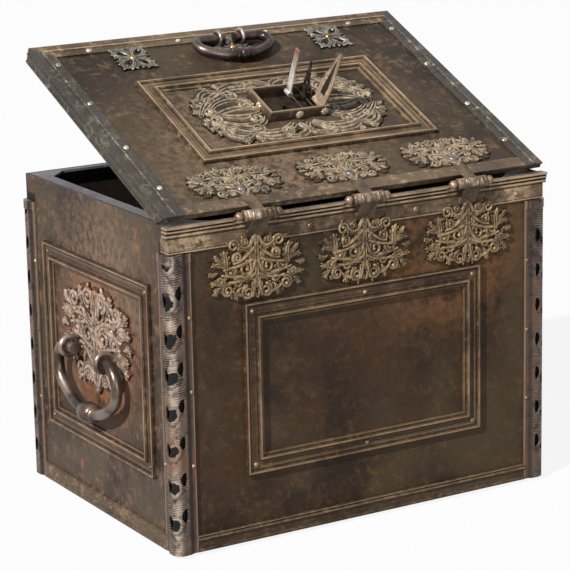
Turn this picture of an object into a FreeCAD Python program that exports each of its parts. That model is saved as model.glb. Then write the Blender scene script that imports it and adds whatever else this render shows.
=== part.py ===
import FreeCAD, Part
import math
import os

# Wrought iron strongbox with a hinged lid, drop handles and a lock that throws bolts under the rim.
# Millimetres. X runs along the hinge line, -Y is the hinge side, +Z is up, the floor is Z = 0.
# The lid is drawn shut and then turned about the hinge axis to the angle at which it rests open.

# Chest body
body_width = 440.0
body_depth = 318.0
body_height = 332.0
foot_height = 4.0
foot_radius = 8.0
foot_inset = 13.0
wall_t = 3.0
floor_t = 3.0

# Rim flanges, turned inwards over the bolts
rim_flange_t = 2.5
side_flange_width = 16.5
opening_flange_width = 11.0
gusset_leg = 30.0

# Lid
lid_open_angle = 23.5
lid_full_angle = 95.0
lid_plate_t = 4.0
lid_near_inset = 2.0
lid_gap = 0.5
border_t = 1.6
border_width = 22.0
hinge_border_width = 16.0
border_bead_r = 1.3
skirt_t = 2.0
skirt_lap = 12.0
skirt_end_cut = 15.0
skirt_bead_r = 1.0

# Hinges
hinge_pitch_share = 0.28523
knuckle_r = 5.0
knuckle_mid_length = 13.0
knuckle_end_length = 11.0
pin_r = 2.6
pin_ball_r = 4.0
hinge_axis_out = 9.0
leaf_t = 1.6
strap_width = 21.0
strap_drop = 20.0
lower_plate_gap = 12.5
lower_plate_height = 64.0
upper_plate_gap = 21.5
upper_plate_height = 48.0

# Fits between pieces
running_gap = 0.05
side_gap = 0.3
work_gap = 0.5
overrun = 5.0
scrap_share = 0.02

# Mouldings: share of the width from the outer edge, share of the height
frame_width = 21.0
frame_height = 5.0
valley_share = 0.46
valley_height_share = 0.45
moulding_shares = [(0.0, 0.62), (0.05, 0.9), (0.12, 0.9), (0.19, 0.5), (0.32, valley_height_share),
                   (0.60, valley_height_share), (0.64, 0.52), (0.70, 1.0), (0.80, 1.0),
                   (0.88, 0.45), (1.0, 0.3)]
wall_frame_end_in = 79.0
wall_frame_low = 68.5
wall_frame_drop = 86.5
side_frame_end_in = 41.0
side_frame_low = 68.5
side_frame_drop = 65.0
lid_frame_end_in = 79.5
lid_frame_near = 78.0
lid_frame_far_in = 86.5

# Bands along the top and the foot of the walls: share of the width, share of the height
top_band_height = 27.0
top_strip_share = 0.58
top_strip_t = 1.6
top_band_proud = 5.0
top_return_depth = 15.0
top_moulding_return = 6.0
top_band_shares = [(0.0, 0.35), (0.12, 0.55), (0.34, 0.55), (0.40, 0.42), (0.48, 0.78), (0.66, 0.78),
                   (0.72, 0.58), (0.80, 1.0), (1.0, 1.0)]
foot_band_height = 17.5
foot_band_proud = 4.0
foot_band_shares = [(0.0, 0.7), (0.14, 0.8), (0.2, 0.45), (0.62, 0.4), (0.7, 0.85), (0.8, 0.85),
                    (0.86, 0.6), (0.94, 1.0), (1.0, 0.55)]

# Corner trims
trim_leg = 21.0
trim_edge_t = 2.2
trim_edge_width = 5.0
trim_column_proud = 4.6
trim_sheet_t = 1.5
trim_collar_height = 9.0
trim_collar_proud = 0.8
trim_top_gap = 28.0
trim_hole_pitch_share = 0.12336
trim_hole_count = 8
trim_hole_first = 34.0
trim_hole_long = 15.0
trim_hole_wide = 7.0
trim_boss_r = 6.0
trim_boss_t = 1.4

# Drop handles on the end walls
side_axis_share = 0.5272
side_axis_out = 15.0
side_eye_half = 40.0
side_end_half = 26.0
side_half_width = 66.0
side_shoulder_r = 22.0
side_bend_r = 26.0
side_drop = 62.0
side_bar_r = 5.8
bead_r = 9.0
bead_length = 30.0
eye_wire_r = 3.0
eye_clear = 0.4
eye_shank_r = 4.0
eye_collar_r = 7.5
eye_collar_t = 2.5
side_plate_half_share = 0.825
side_plate_high_share = 0.9617
side_plate_low_share = 0.2843
side_plate_t = 2.0
side_lift = 165.0

# Handle on the lid
lid_handle_in = 29.5
lid_axis_up = 7.5
lid_eye_half = 14.0
lid_end_half = 6.0
lid_half_width = 43.0
lid_shoulder_r = 10.0
lid_bend_r = 15.0
lid_drop = 35.0
lid_bar_r = 5.3
lid_bead_r = 7.0
lid_bead_length = 20.0
lid_eye_wire_r = 2.0
lid_eye_collar_t = 1.5
lid_lift = 140.0

# Keyhole box and its three cover leaves
box_half_width = 35.0
box_depth = 49.0
box_shift = 1.5
box_height = 14.0
box_wall = 2.0
cover_pin_r = 1.2
cover_pin_up = 10.0
cover_curl_r = 3.0
cover_t = 1.6
strip_x = 7.0
strip_width = 9.0
strip_length = 52.0
leaf_x = 20.0
leaf_width = 10.0
leaf_length = 43.0
flap_x = 29.5
flap_width = 20.0
flap_length = 58.0
flap_lean = 14.0
keyhole_r = 5.0
keyhole_slot_width = 4.0
keyhole_slot_length = 11.5

# Ornament on the lid
rosette_half = 25.0
rosette_t = 1.6
rosette_in = 40.5
rosette_end_in = 99.5
brass_r = 4.2
lid_ornament_end_gap = 15.5
lid_ornament_near_gap = 2.0
lid_ornament_far_gap = 6.0
ornament_t = 2.0

# Rivets
rivet_r = 3.0
rivet_height = 1.8
frame_rivet_r = 2.2
trim_rivet_r = 2.0
border_rivet_r = 2.8
shell_r = 4.5
shell_height = 3.6

# Lock under the lid
lock_plate_t = 3.0
lock_end_in = 20.0
lock_half_depth = 84.0
lock_wing_half = 90.0
bar_t = 5.0
tail_width = 16.0
tail_in = 6.0
tail_over = 5.0
bolt_width = 16.0
bolt_tip_back = 18.5
bolt_throw = 14.0
side_bolt_half = 58.0
far_bolt_half = 66.0
crossbar_width = 14.0
guide_t = 7.0
guide_wall = 4.0
guide_back = 2.0
tail_guide_place = 100.0
arm_radius = 30.0
arm_tip_r = 4.0
arm_width = 3.5
hub_r = 17.0
hub_collar_r = 13.0
hub_nose = 1.5
cover_plate_half_width = 112.0
cover_plate_half_depth = 76.0
cover_plate_t = 2.0
cover_hole_r = 9.0
post_r = 4.0
post_inset = 8.0

# Places worked out from the sizes above
trim_proud = trim_column_proud
lid_rise = lid_plate_t + border_t
hinge_axis_up = lid_rise + leaf_t - knuckle_r
body_y = (hinge_axis_out + knuckle_r - trim_proud) / 2
half_width = body_width / 2
hinge_face = body_y - body_depth / 2
opening_face = body_y + body_depth / 2
body_low = foot_height
rim = foot_height + body_height
axis_y = hinge_face - hinge_axis_out
axis_z = rim + hinge_axis_up
lid_near = hinge_face + lid_near_inset
lid_half_inner = half_width + lid_gap
lid_half_outer = lid_half_inner + skirt_t
lid_far_inner = opening_face + lid_gap
lid_far_outer = lid_far_inner + skirt_t
plate_top = rim + lid_plate_t
border_top = rim + lid_rise
skirt_low = rim - skirt_lap
hinge_pitch = body_width * hinge_pitch_share
hinge_centres = [-hinge_pitch, 0, hinge_pitch]
lower_plate_width = hinge_pitch - lower_plate_gap
upper_plate_width = hinge_pitch - upper_plate_gap
wall_frame_half_width = half_width - wall_frame_end_in
wall_frame_high = body_height - wall_frame_drop
side_frame_half_depth = body_depth / 2 - side_frame_end_in
side_frame_high = body_height - side_frame_drop
lid_run = lid_far_outer - lid_near
lid_frame_half_width = half_width - lid_frame_end_in
lid_frame_far = lid_run - lid_frame_far_in
lid_handle_t = lid_run - lid_handle_in
box_middle = (lid_frame_near + lid_frame_far) / 2 + box_shift
box_near = box_middle - box_depth / 2
box_far = box_middle + box_depth / 2
rosette_place = lid_run - rosette_in
rosette_spread = half_width - rosette_end_in
lid_ornament_half = lid_frame_half_width - frame_width - lid_ornament_end_gap
lid_ornament_near = lid_frame_near + frame_width + lid_ornament_near_gap
lid_ornament_far = lid_frame_far - frame_width - lid_ornament_far_gap
lock_half_width = half_width - lock_end_in
trim_hole_pitch = (rim - trim_top_gap - body_low) * trim_hole_pitch_share
side_panel_low = side_frame_low + frame_width
side_panel_rise = side_frame_high - frame_width - side_panel_low
side_axis_height = side_panel_low + side_axis_share * side_panel_rise
side_plate_half = (side_frame_half_depth - frame_width) * side_plate_half_share
side_plate_low = side_panel_low + side_plate_low_share * side_panel_rise
side_plate_high = side_panel_low + side_plate_high_share * side_panel_rise


def vec(x, y, z):
    return FreeCAD.Vector(x, y, z)


def block(x0, x1, y0, y1, z0, z1):
    low = vec(min(x0, x1), min(y0, y1), min(z0, z1))
    return Part.makeBox(abs(x1 - x0), abs(y1 - y0), abs(z1 - z0), low)


def rod(radius, start, end):
    along = end - start
    return Part.makeCylinder(radius, along.Length, start, along)


def prism(points, along):
    wire = Part.makePolygon(points + points[:1])
    return Part.Face(wire).extrude(along)


def fused(shapes):
    result = shapes[0]
    if len(shapes) > 1:
        result = shapes[0].multiFuse(shapes[1:])
    return result.removeSplitter()


def mirror_x(shape):
    return shape.mirror(vec(0, 0, 0), vec(1, 0, 0))


def mirror_y(shape):
    return shape.mirror(vec(0, body_y, 0), vec(0, 1, 0))


def moved(shape, x, y, z):
    copy = shape.copy()
    copy.translate(vec(x, y, z))
    return copy


def turned(shape, centre, axis, angle):
    copy = shape.copy()
    copy.rotate(centre, axis, angle)
    return copy


def opened(shape):
    return turned(shape, vec(0, axis_y, axis_z), vec(1, 0, 0), lid_open_angle)


def keep(name, shape):
    shape.exportStep("parts/" + name + ".step")
    solids = shape.Solids
    volume = sum(solid.Volume for solid in solids)
    print(name, len(solids), "solids", round(volume), "mm3", "valid" if shape.isValid() else "INVALID")


# A flat figure is drawn in its own plane (u across, v up, lift out of the plane) and then seated
# on a wall or on the lid by three directions and a corner point.
def seat(shape, corner, u_way, v_way):
    out_way = u_way.cross(v_way)
    matrix = FreeCAD.Matrix(u_way.x, v_way.x, out_way.x, corner.x,
                            u_way.y, v_way.y, out_way.y, corner.y,
                            u_way.z, v_way.z, out_way.z, corner.z,
                            0, 0, 0, 1)
    seated = shape.copy()
    seated.Placement = FreeCAD.Placement(matrix).multiply(seated.Placement)
    return seated


def on_hinge_wall(shape):
    return seat(shape, vec(0, hinge_face, 0), vec(1, 0, 0), vec(0, 0, 1))


def on_opening_wall(shape):
    return seat(shape, vec(0, opening_face, 0), vec(-1, 0, 0), vec(0, 0, 1))


def on_left_wall(shape):
    return seat(shape, vec(-half_width, body_y, 0), vec(0, -1, 0), vec(0, 0, 1))


def on_right_wall(shape):
    return seat(shape, vec(half_width, body_y, 0), vec(0, 1, 0), vec(0, 0, 1))


def on_lid(shape, height):
    return seat(shape, vec(0, lid_near, height), vec(1, 0, 0), vec(0, 1, 0))


# A moulded frame is a ring of flat faces between nested rectangles, mitred at its corners.
def moulded_frame(u0, u1, v0, v1, width, height):
    rings = [(0, 0)]
    for inward, up in moulding_shares:
        rings.append((inward * width, up * height))
    rings.append((width, 0))
    faces = []
    for start, end in zip(rings, rings[1:] + rings[:1]):
        for side in range(4):
            corners = []
            for inset, up in (start, end):
                us = (u0 + inset, u1 - inset, u1 - inset, u0 + inset)
                vs = (v0 + inset, v0 + inset, v1 - inset, v1 - inset)
                after = (side + 1) % 4
                corners.append((vec(us[side], vs[side], up), vec(us[after], vs[after], up)))
            loop = [corners[0][0], corners[0][1], corners[1][1], corners[1][0], corners[0][0]]
            faces.append(Part.Face(Part.makePolygon(loop)))
    frame = Part.Solid(Part.Shell(faces))
    if frame.Volume < 0:
        frame.reverse()
    return frame


def moulded_band(u0, u1, low, height, proud, shares):
    points = [vec(u0, low, 0)]
    for up, out in shares:
        points.append(vec(u0, low + up * height, out * proud))
    points.append(vec(u0, low + height, 0))
    return prism(points, vec(u1 - u0, 0, 0))


# One domed head, its flat back on the plane.
def dome(radius, height, u, v):
    ball_r = (radius ** 2 + height ** 2) / (2 * height)
    rim_point = vec(radius, 0, 0)
    side_angle = math.asin(radius / ball_r) / 2
    side_point = vec(ball_r * math.sin(side_angle), 0, height - ball_r + ball_r * math.cos(side_angle))
    arc = Part.Arc(rim_point, side_point, vec(0, 0, height)).toShape()
    back = Part.makeLine(vec(0, 0, 0), rim_point)
    post = Part.makeLine(vec(0, 0, height), vec(0, 0, 0))
    head = Part.Face(Part.Wire([back, arc, post])).revolve(vec(0, 0, 0), vec(0, 0, 1), 360)
    return moved(head, u, v, 0)


# Scroll ornament is cut from plate: rings, curved bands and pointed leaves that run into each other.
def ring_bar(u, v, radius, width, thick):
    outer = Part.makeCylinder(radius + width / 2, thick, vec(u, v, 0))
    return outer.cut(Part.makeCylinder(radius - width / 2, thick, vec(u, v, 0)))


def leaf_bar(u0, v0, u1, v1, width, thick, bow):
    start = vec(u0, v0, 0)
    end = vec(u1, v1, 0)
    across = vec(v0 - v1, u1 - u0, 0).normalize()
    middle = (start + end) * 0.5 + across * bow
    left = middle + across * (width / 2)
    right = middle - across * (width / 2)
    edges = [Part.Arc(start, left, end).toShape(), Part.Arc(end, right, start).toShape()]
    return Part.Face(Part.Wire(edges)).extrude(vec(0, 0, thick))


# Rows of the scroll tables are shares of the half width and of the height.
# Rings hold u, v and radius. Leaves hold both ends and the bow to one side.
scroll_ring_shares = [(0.30, 0.88, 0.115), (0.36, 0.60, 0.13), (0.68, 0.66, 0.12), (0.62, 0.36, 0.14),
                      (0.20, 0.16, 0.15), (0.17, 0.42, 0.12)]
scroll_leaf_shares = [(0.0, 1.0, 0.0, 0.62, 0.0), (0.0, 0.66, 0.30, 0.98, 0.03),
                      (0.12, 0.68, 0.99, 0.70, 0.06), (0.62, 0.74, 0.86, 0.86, 0.02),
                      (0.0, 0.56, 0.72, 0.50, -0.06), (0.55, 0.48, 1.0, 0.52, 0.05),
                      (0.60, 0.40, 0.93, 0.30, -0.04), (0.0, 0.34, 0.66, 0.24, 0.07),
                      (0.50, 0.30, 0.62, 0.06, 0.05), (0.0, 0.52, 0.10, 0.0, 0.05),
                      (0.10, 0.08, 0.44, 0.02, 0.04), (0.16, 0.70, 0.48, 0.46, 0.03),
                      (0.28, 0.44, 0.10, 0.22, -0.04)]
scroll_bar_share = 0.10
scroll_leaf_width_share = 0.13
scroll_spine_share = 0.07


def scroll_plate(half_width_here, low, high, thick):
    height = high - low
    size = min(half_width_here, height)
    bar = scroll_bar_share * size
    pieces = []
    for u, v, radius in scroll_ring_shares:
        pieces.append(ring_bar(u * half_width_here, low + v * height, radius * size, bar, thick))
    for u0, v0, u1, v1, bow in scroll_leaf_shares:
        pieces.append(leaf_bar(u0 * half_width_here, low + v0 * height, u1 * half_width_here,
                               low + v1 * height, scroll_leaf_width_share * size, thick, bow * size))
    mirrored = [mirror_x(piece) for piece in pieces]
    spine = scroll_spine_share * half_width_here
    core = block(-spine, spine, low + height * scroll_spine_share, high, 0, thick)
    return fused([core] + pieces + mirrored)


# One bend of a round bar, from start to end about a centre, setting off along way.
def bent_bar(start, end, centre, way, radius):
    section = Part.Face(Part.Wire([Part.makeCircle(radius, start, way)]))
    axis = (start - centre).cross(way).normalize()
    angle = math.degrees((start - centre).getAngle(end - centre))
    return section.revolve(centre, axis, angle)


# Half the outline of a turned bead: share of the half length, share of the swell over the bar.
bead_shares = [(0.08, 1.0), (0.22, 0.92), (0.34, 0.68), (0.42, 0.34), (0.48, 0.30), (0.50, 0.62),
               (0.60, 0.62), (0.62, 0.34), (0.74, 0.34), (0.77, 0.70), (0.94, 0.70), (1.0, 0.52)]
bead_hold_share = 0.3


# A drop handle: straight ends through the eyes, shoulders, and a flattened bow with a turned bead.
# It is drawn hanging in the XZ plane about the X axis line.
def bail(end_half, half_span, shoulder_r, bend_r, drop, bar_r, bead_radius, bead_long):
    reach = drop - shoulder_r
    side_in = half_span - bend_r
    bow_r = (side_in ** 2 + reach ** 2 - bend_r ** 2) / (2 * (reach - bend_r))
    bend_centre = vec(side_in, 0, -shoulder_r)
    bow_centre = vec(0, 0, -drop + bow_r)
    join = bend_centre + (bend_centre - bow_centre).normalize() * bend_r
    shoulder_centre = vec(half_span - shoulder_r, 0, -shoulder_r)
    top_end = vec(half_span - shoulder_r, 0, 0)
    side_end = vec(half_span, 0, -shoulder_r)

    side_parts = [rod(bar_r, vec(end_half, 0, 0), top_end),
                  bent_bar(top_end, side_end, shoulder_centre, vec(1, 0, 0), bar_r),
                  bent_bar(side_end, join, bend_centre, vec(0, 0, -1), bar_r)]
    bow_way = vec(0, 1, 0).cross(join - bow_centre).normalize()
    stop_x = bead_long * bead_hold_share
    stop = vec(stop_x, 0, bow_centre.z - math.sqrt(bow_r ** 2 - stop_x ** 2))
    side_parts.append(bent_bar(join, stop, bow_centre, bow_way, bar_r))
    outline = [(share * bead_long / 2, bar_r + swell * (bead_radius - bar_r)) for share, swell in bead_shares]
    outline = [(-x, radius) for x, radius in reversed(outline)] + outline
    points = [vec(outline[0][0], 0, -drop)]
    points += [vec(x, 0, radius - drop) for x, radius in outline]
    points.append(vec(outline[-1][0], 0, -drop))
    bead = Part.Face(Part.makePolygon(points + points[:1]))
    bead = bead.revolve(vec(0, 0, -drop), vec(1, 0, 0), 360)
    return fused(side_parts + [mirror_x(part) for part in side_parts] + [bead])


# An eye: a ring round the end of the handle, on a shank with a collar that seats on the plate.
def eye(ring_r, wire_r, stand_off, collar_r, collar_t, shank_r):
    ring = Part.makeTorus(ring_r, wire_r, vec(0, 0, 0), vec(1, 0, 0))
    shank = rod(shank_r, vec(0, ring_r, 0), vec(0, stand_off, 0))
    collar = rod(collar_r, vec(0, stand_off - collar_t, 0), vec(0, stand_off, 0))
    return fused([ring, shank, collar])


os.makedirs("parts", exist_ok=True)

# Shell of the chest: floor, four walls and four feet
wall_low = body_low + floor_t
keep("bottom_plate", block(-half_width, half_width, hinge_face, opening_face, body_low, wall_low))
keep("hinge_wall", block(-half_width, half_width, hinge_face, hinge_face + wall_t, wall_low, rim))
keep("opening_wall", block(-half_width, half_width, opening_face - wall_t, opening_face, wall_low, rim))
side_wall = block(-half_width, -half_width + wall_t, hinge_face + wall_t, opening_face - wall_t,
                  wall_low, rim)
keep("left_wall", side_wall)
keep("right_wall", mirror_x(side_wall))
feet = []
for x in (-half_width + foot_inset, half_width - foot_inset):
    for y in (hinge_face + foot_inset, opening_face - foot_inset):
        feet.append(Part.makeCone(foot_radius * 0.7, foot_radius, foot_height, vec(x, y, 0)))
keep("feet", Part.Compound(feet))

# Rim flanges, level with the top of the walls
inner_x = half_width - wall_t
inner_near = hinge_face + wall_t
inner_far = opening_face - wall_t
flange_edge = half_width - side_flange_width
flange_low = rim - rim_flange_t
flange_outline = [vec(-inner_x, inner_near, flange_low),
                  vec(-flange_edge + gusset_leg, inner_near, flange_low),
                  vec(-flange_edge, inner_near + gusset_leg, flange_low),
                  vec(-flange_edge, inner_far - gusset_leg, flange_low),
                  vec(-flange_edge + gusset_leg, inner_far, flange_low),
                  vec(-inner_x, inner_far, flange_low)]
side_flange = prism(flange_outline, vec(0, 0, rim_flange_t))
keep("rim_flange_left", side_flange)
keep("rim_flange_right", mirror_x(side_flange))
far_flange_edge = opening_face - opening_flange_width
gusset_slope = gusset_leg - (opening_flange_width - wall_t)
far_outline = [vec(-flange_edge + gusset_leg, inner_far, flange_low),
               vec(-flange_edge + gusset_slope, far_flange_edge, flange_low),
               vec(flange_edge - gusset_slope, far_flange_edge, flange_low),
               vec(flange_edge - gusset_leg, inner_far, flange_low)]
keep("rim_flange_opening", prism(far_outline, vec(0, 0, rim_flange_t)))

# Corner trims: a pierced half column folded round each corner, with a flat strip along each edge
trim_low = body_low
trim_high = rim - trim_top_gap
trim_x = -half_width
trim_y = hinge_face


def trim_section(grow, low, high):
    edge = trim_edge_t + grow
    proud = trim_column_proud + grow
    flat_end = trim_leg - trim_edge_width
    round_r = proud + trim_column_proud
    points = [vec(trim_x, trim_y, low), vec(trim_x + trim_leg, trim_y, low),
              vec(trim_x + trim_leg, trim_y - edge, low), vec(trim_x + flat_end, trim_y - edge, low),
              vec(trim_x + flat_end - proud, trim_y - proud, low)]
    turn_start = vec(trim_x - proud + round_r, trim_y - proud, low)
    turn_end = vec(trim_x - proud, trim_y - proud + round_r, low)
    turn_centre = vec(trim_x - proud + round_r, trim_y - proud + round_r, low)
    turn_middle = turn_centre + vec(-1, -1, 0).normalize() * round_r
    tail = [vec(trim_x - proud, trim_y + flat_end - proud, low), vec(trim_x - edge, trim_y + flat_end, low),
            vec(trim_x - edge, trim_y + trim_leg, low), vec(trim_x, trim_y + trim_leg, low)]
    outline = points + [turn_start]
    edges = [Part.makeLine(a, b) for a, b in zip(outline, outline[1:])]
    edges.append(Part.Arc(turn_start, turn_middle, turn_end).toShape())
    outline = [turn_end] + tail + points[:1]
    edges += [Part.makeLine(a, b) for a, b in zip(outline, outline[1:])]
    return Part.Face(Part.Wire(edges)).extrude(vec(0, 0, high - low))


outer_trim = trim_section(0, trim_low, trim_high)
hollow = trim_section(-trim_sheet_t, trim_low - overrun, trim_high - trim_collar_height)
hollow_cut = hollow.cut(block(trim_x + trim_leg - trim_edge_width, trim_x + trim_leg + overrun,
                              trim_y - trim_leg, trim_y + overrun, trim_low - overrun, trim_high))
hollow_cut = hollow_cut.cut(block(trim_x - trim_leg, trim_x + overrun, trim_y + trim_leg - trim_edge_width,
                                  trim_y + trim_leg + overrun, trim_low - overrun, trim_high))
hollow_cut = hollow_cut.cut(block(trim_x - trim_leg, trim_x + trim_leg, trim_y - trim_leg,
                                  trim_y + trim_leg, trim_low - overrun, trim_low + trim_sheet_t))
collar = trim_section(trim_collar_proud, trim_high - trim_collar_height, trim_high)
trim_holes = []
hole_side = (trim_leg - trim_edge_width) * 0.5
for index in range(trim_hole_count):
    z = body_low + trim_hole_first + index * trim_hole_pitch
    leaf = leaf_bar(0, 0, 0, trim_hole_long, trim_hole_wide, trim_leg, trim_hole_wide * 0.3)
    on_side = seat(leaf, vec(trim_x - trim_leg / 2, trim_y + hole_side, z - trim_hole_long / 2),
                   vec(0, 1, 0), vec(0, 0, 1))
    trim_holes.append(on_side.common(block(trim_x - trim_leg, trim_x, trim_y, trim_y + trim_leg,
                                           trim_low, trim_high - trim_collar_height)))
    on_front = seat(leaf, vec(trim_x + hole_side, trim_y, z), vec(1, 0, 0), vec(0, 0, 1))
    trim_holes.append(on_front.common(block(trim_x, trim_x + trim_leg, trim_y - trim_leg, trim_y,
                                            trim_low, trim_high - trim_collar_height)))
corner_trim = fused([outer_trim, collar]).cut(hollow_cut)
corner_trim = corner_trim.cut(block(trim_x, trim_x + trim_leg * 2, trim_y, trim_y + trim_leg * 2,
                                    trim_low - overrun, trim_high + overrun))
corner_trim = corner_trim.cut(Part.Compound([hole for hole in trim_holes if hole.Solids]))
keep("corner_trim_hinge_left", corner_trim)
keep("corner_trim_hinge_right", mirror_x(corner_trim))
keep("corner_trim_opening_left", mirror_y(corner_trim))
keep("corner_trim_opening_right", mirror_x(mirror_y(corner_trim)))

# Band under the rim of the hinge wall: flat riveted strip below, three steps above, cut at the hinges
band_low = rim - top_band_height
step_low = band_low + top_strip_share * top_band_height
step_height = rim - step_low
strip = block(-half_width - top_strip_t, half_width + top_strip_t, band_low, step_low, 0, top_strip_t)
steps = moulded_band(-half_width - top_band_proud, half_width + top_band_proud, step_low, step_height,
                     top_band_proud, top_band_shares)
returns = []
for side in (-1, 1):
    wall = side * half_width
    returns.append(block(wall, wall + side * top_strip_t, hinge_face, hinge_face + top_return_depth,
                         band_low, step_low))
    returns.append(block(wall, wall + side * top_band_proud, hinge_face,
                         hinge_face + top_moulding_return, step_low, rim))
top_band = fused([on_hinge_wall(strip), on_hinge_wall(steps)] + returns)
notch_half = knuckle_mid_length / 2 + knuckle_end_length + pin_ball_r * 2 + work_gap
for x in hinge_centres:
    notch = block(x - notch_half, x + notch_half, hinge_face - top_band_proud - overrun,
                  hinge_face - top_strip_t, step_low, rim + overrun)
    top_band = top_band.cut(notch)
    strap_notch = block(x - strap_width / 2 - work_gap, x + strap_width / 2 + work_gap,
                        hinge_face - top_band_proud - overrun, hinge_face, band_low - overrun,
                        rim + overrun)
    top_band = top_band.cut(strap_notch)

# Bands along the foot of the walls, between the corner trims
foot_u = half_width - trim_leg
foot_v = body_depth / 2 - trim_leg
long_band = moulded_band(-foot_u, foot_u, body_low, foot_band_height, foot_band_proud, foot_band_shares)
short_band = moulded_band(-foot_v, foot_v, body_low, foot_band_height, foot_band_proud, foot_band_shares)
keep("foot_band_hinge", on_hinge_wall(long_band))
keep("foot_band_opening", on_opening_wall(long_band))
keep("foot_bands_ends", Part.Compound([on_left_wall(short_band), on_right_wall(short_band)]))

# Moulded panel frames on the four walls
long_frame = moulded_frame(-wall_frame_half_width, wall_frame_half_width, body_low + wall_frame_low,
                           body_low + wall_frame_high, frame_width, frame_height)
short_frame = moulded_frame(-side_frame_half_depth, side_frame_half_depth, body_low + side_frame_low,
                            body_low + side_frame_high, frame_width, frame_height)
keep("panel_frame_hinge", on_hinge_wall(long_frame))
keep("panel_frame_opening", on_opening_wall(long_frame))
keep("panel_frame_left", on_left_wall(short_frame))
keep("panel_frame_right", on_right_wall(short_frame))

# Pierced plates behind the drop handles, with seats for the two eyes
axis_side_z = body_low + side_axis_height
side_scrolls = scroll_plate(side_plate_half, body_low + side_plate_low, body_low + side_plate_high,
                            side_plate_t)
eye_seats = []
for side in (-1, 1):
    eye_seats.append(Part.makeCylinder(eye_collar_r, side_plate_t, vec(side * side_eye_half, axis_side_z, 0)))
side_scrolls = fused([side_scrolls] + eye_seats)
keep("side_ornament_left", on_left_wall(side_scrolls))
keep("side_ornament_right", on_right_wall(side_scrolls))

# Drop handles on the end walls, each in two eyes
side_handle = bail(side_end_half, side_half_width, side_shoulder_r, side_bend_r, side_drop,
                   side_bar_r, bead_r, bead_length)
side_ring_r = side_bar_r + eye_clear + eye_wire_r
side_eye = eye(side_ring_r, eye_wire_r, side_axis_out - side_plate_t, eye_collar_r, eye_collar_t,
               eye_shank_r)


def at_left_end(shape, along):
    turned_shape = turned(shape, vec(0, 0, 0), vec(0, 0, 1), -90)
    return moved(turned_shape, -half_width - side_axis_out, body_y + along, axis_side_z)


right_handle = mirror_x(at_left_end(side_handle, 0))
left_handle = turned(right_handle, vec(0, body_y, 0), vec(0, 0, 1), 180)
left_eyes = Part.Compound([at_left_end(side_eye, -side_eye_half), at_left_end(side_eye, side_eye_half)])
keep("side_handle_left", left_handle)
keep("side_handle_right", right_handle)
keep("handle_eyes_left", left_eyes)
keep("handle_eyes_right", mirror_x(left_eyes))

# Lower hinge leaves: two knuckles, a strap that falls back to the wall, and a pierced plate.
# The band under the rim is cut round the plates, and scraps of it inside them are left out.
plate_high = rim - strap_drop
lower_scrolls = on_hinge_wall(scroll_plate(lower_plate_width / 2, plate_high - lower_plate_height,
                                           plate_high, leaf_t))
knuckle_ends = []
knuckle_half = knuckle_mid_length / 2 + side_gap
for side in (-1, 1):
    knuckle_ends.append(rod(knuckle_r, vec(side * knuckle_half, axis_y, axis_z),
                            vec(side * (knuckle_half + knuckle_end_length), axis_y, axis_z)))
strap_half = strap_width / 2
strap_points = [vec(-strap_half, axis_y - knuckle_r * 0.9, axis_z - knuckle_r * 0.4),
                vec(-strap_half, axis_y + knuckle_r * 0.9, axis_z - knuckle_r * 0.4),
                vec(-strap_half, hinge_face, axis_z - knuckle_r * 1.8),
                vec(-strap_half, hinge_face, plate_high - leaf_t),
                vec(-strap_half, hinge_face - leaf_t, plate_high - leaf_t)]
lower_strap = prism(strap_points, vec(strap_width, 0, 0))
lower_leaf = fused(knuckle_ends + [lower_strap, lower_scrolls])
swing_room = rod(knuckle_r + work_gap, vec(-knuckle_half, axis_y, axis_z),
                 vec(knuckle_half, axis_y, axis_z))
pin_reach = knuckle_half + knuckle_end_length + overrun
pin_bore = rod(pin_r + running_gap, vec(-pin_reach, axis_y, axis_z), vec(pin_reach, axis_y, axis_z))
lower_leaf = lower_leaf.cut(swing_room).cut(pin_bore)
for name, x in zip(("left", "middle", "right"), hinge_centres):
    keep("lower_hinge_" + name, moved(lower_leaf, x, 0, 0))
    top_band = top_band.cut(moved(lower_scrolls, x, 0, 0))
largest = max(solid.Volume for solid in top_band.Solids)
top_band = Part.Compound([solid for solid in top_band.Solids if solid.Volume > largest * scrap_share])
keep("top_band", top_band)

# Hinge pins with a ball at each end
pins = []
pin_half = knuckle_half + knuckle_end_length
for x in hinge_centres:
    shaft = rod(pin_r, vec(x - pin_half - pin_ball_r, axis_y, axis_z),
                vec(x + pin_half + pin_ball_r, axis_y, axis_z))
    balls = []
    for side in (-1, 1):
        ball_centre = vec(x + side * (pin_half + pin_ball_r), axis_y, axis_z)
        balls.append(Part.makeSphere(pin_ball_r, ball_centre))
    pins.append(fused([shaft] + balls))
keep("hinge_pins", Part.Compound(pins))

# Lid plate with the keyhole
lid_plate = block(-lid_half_inner, lid_half_inner, lid_near, lid_far_inner, rim, plate_top)
lock_y = lid_near + (box_near + box_far) / 2
keyhole = rod(keyhole_r, vec(0, lock_y, rim - overrun), vec(0, lock_y, plate_top + overrun))
key_slot = block(-keyhole_slot_width / 2, keyhole_slot_width / 2, lock_y - keyhole_slot_length, lock_y,
                 rim - overrun, plate_top + overrun)
keep("lid_plate", opened(lid_plate.cut(fused([keyhole, key_slot]))))

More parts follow.
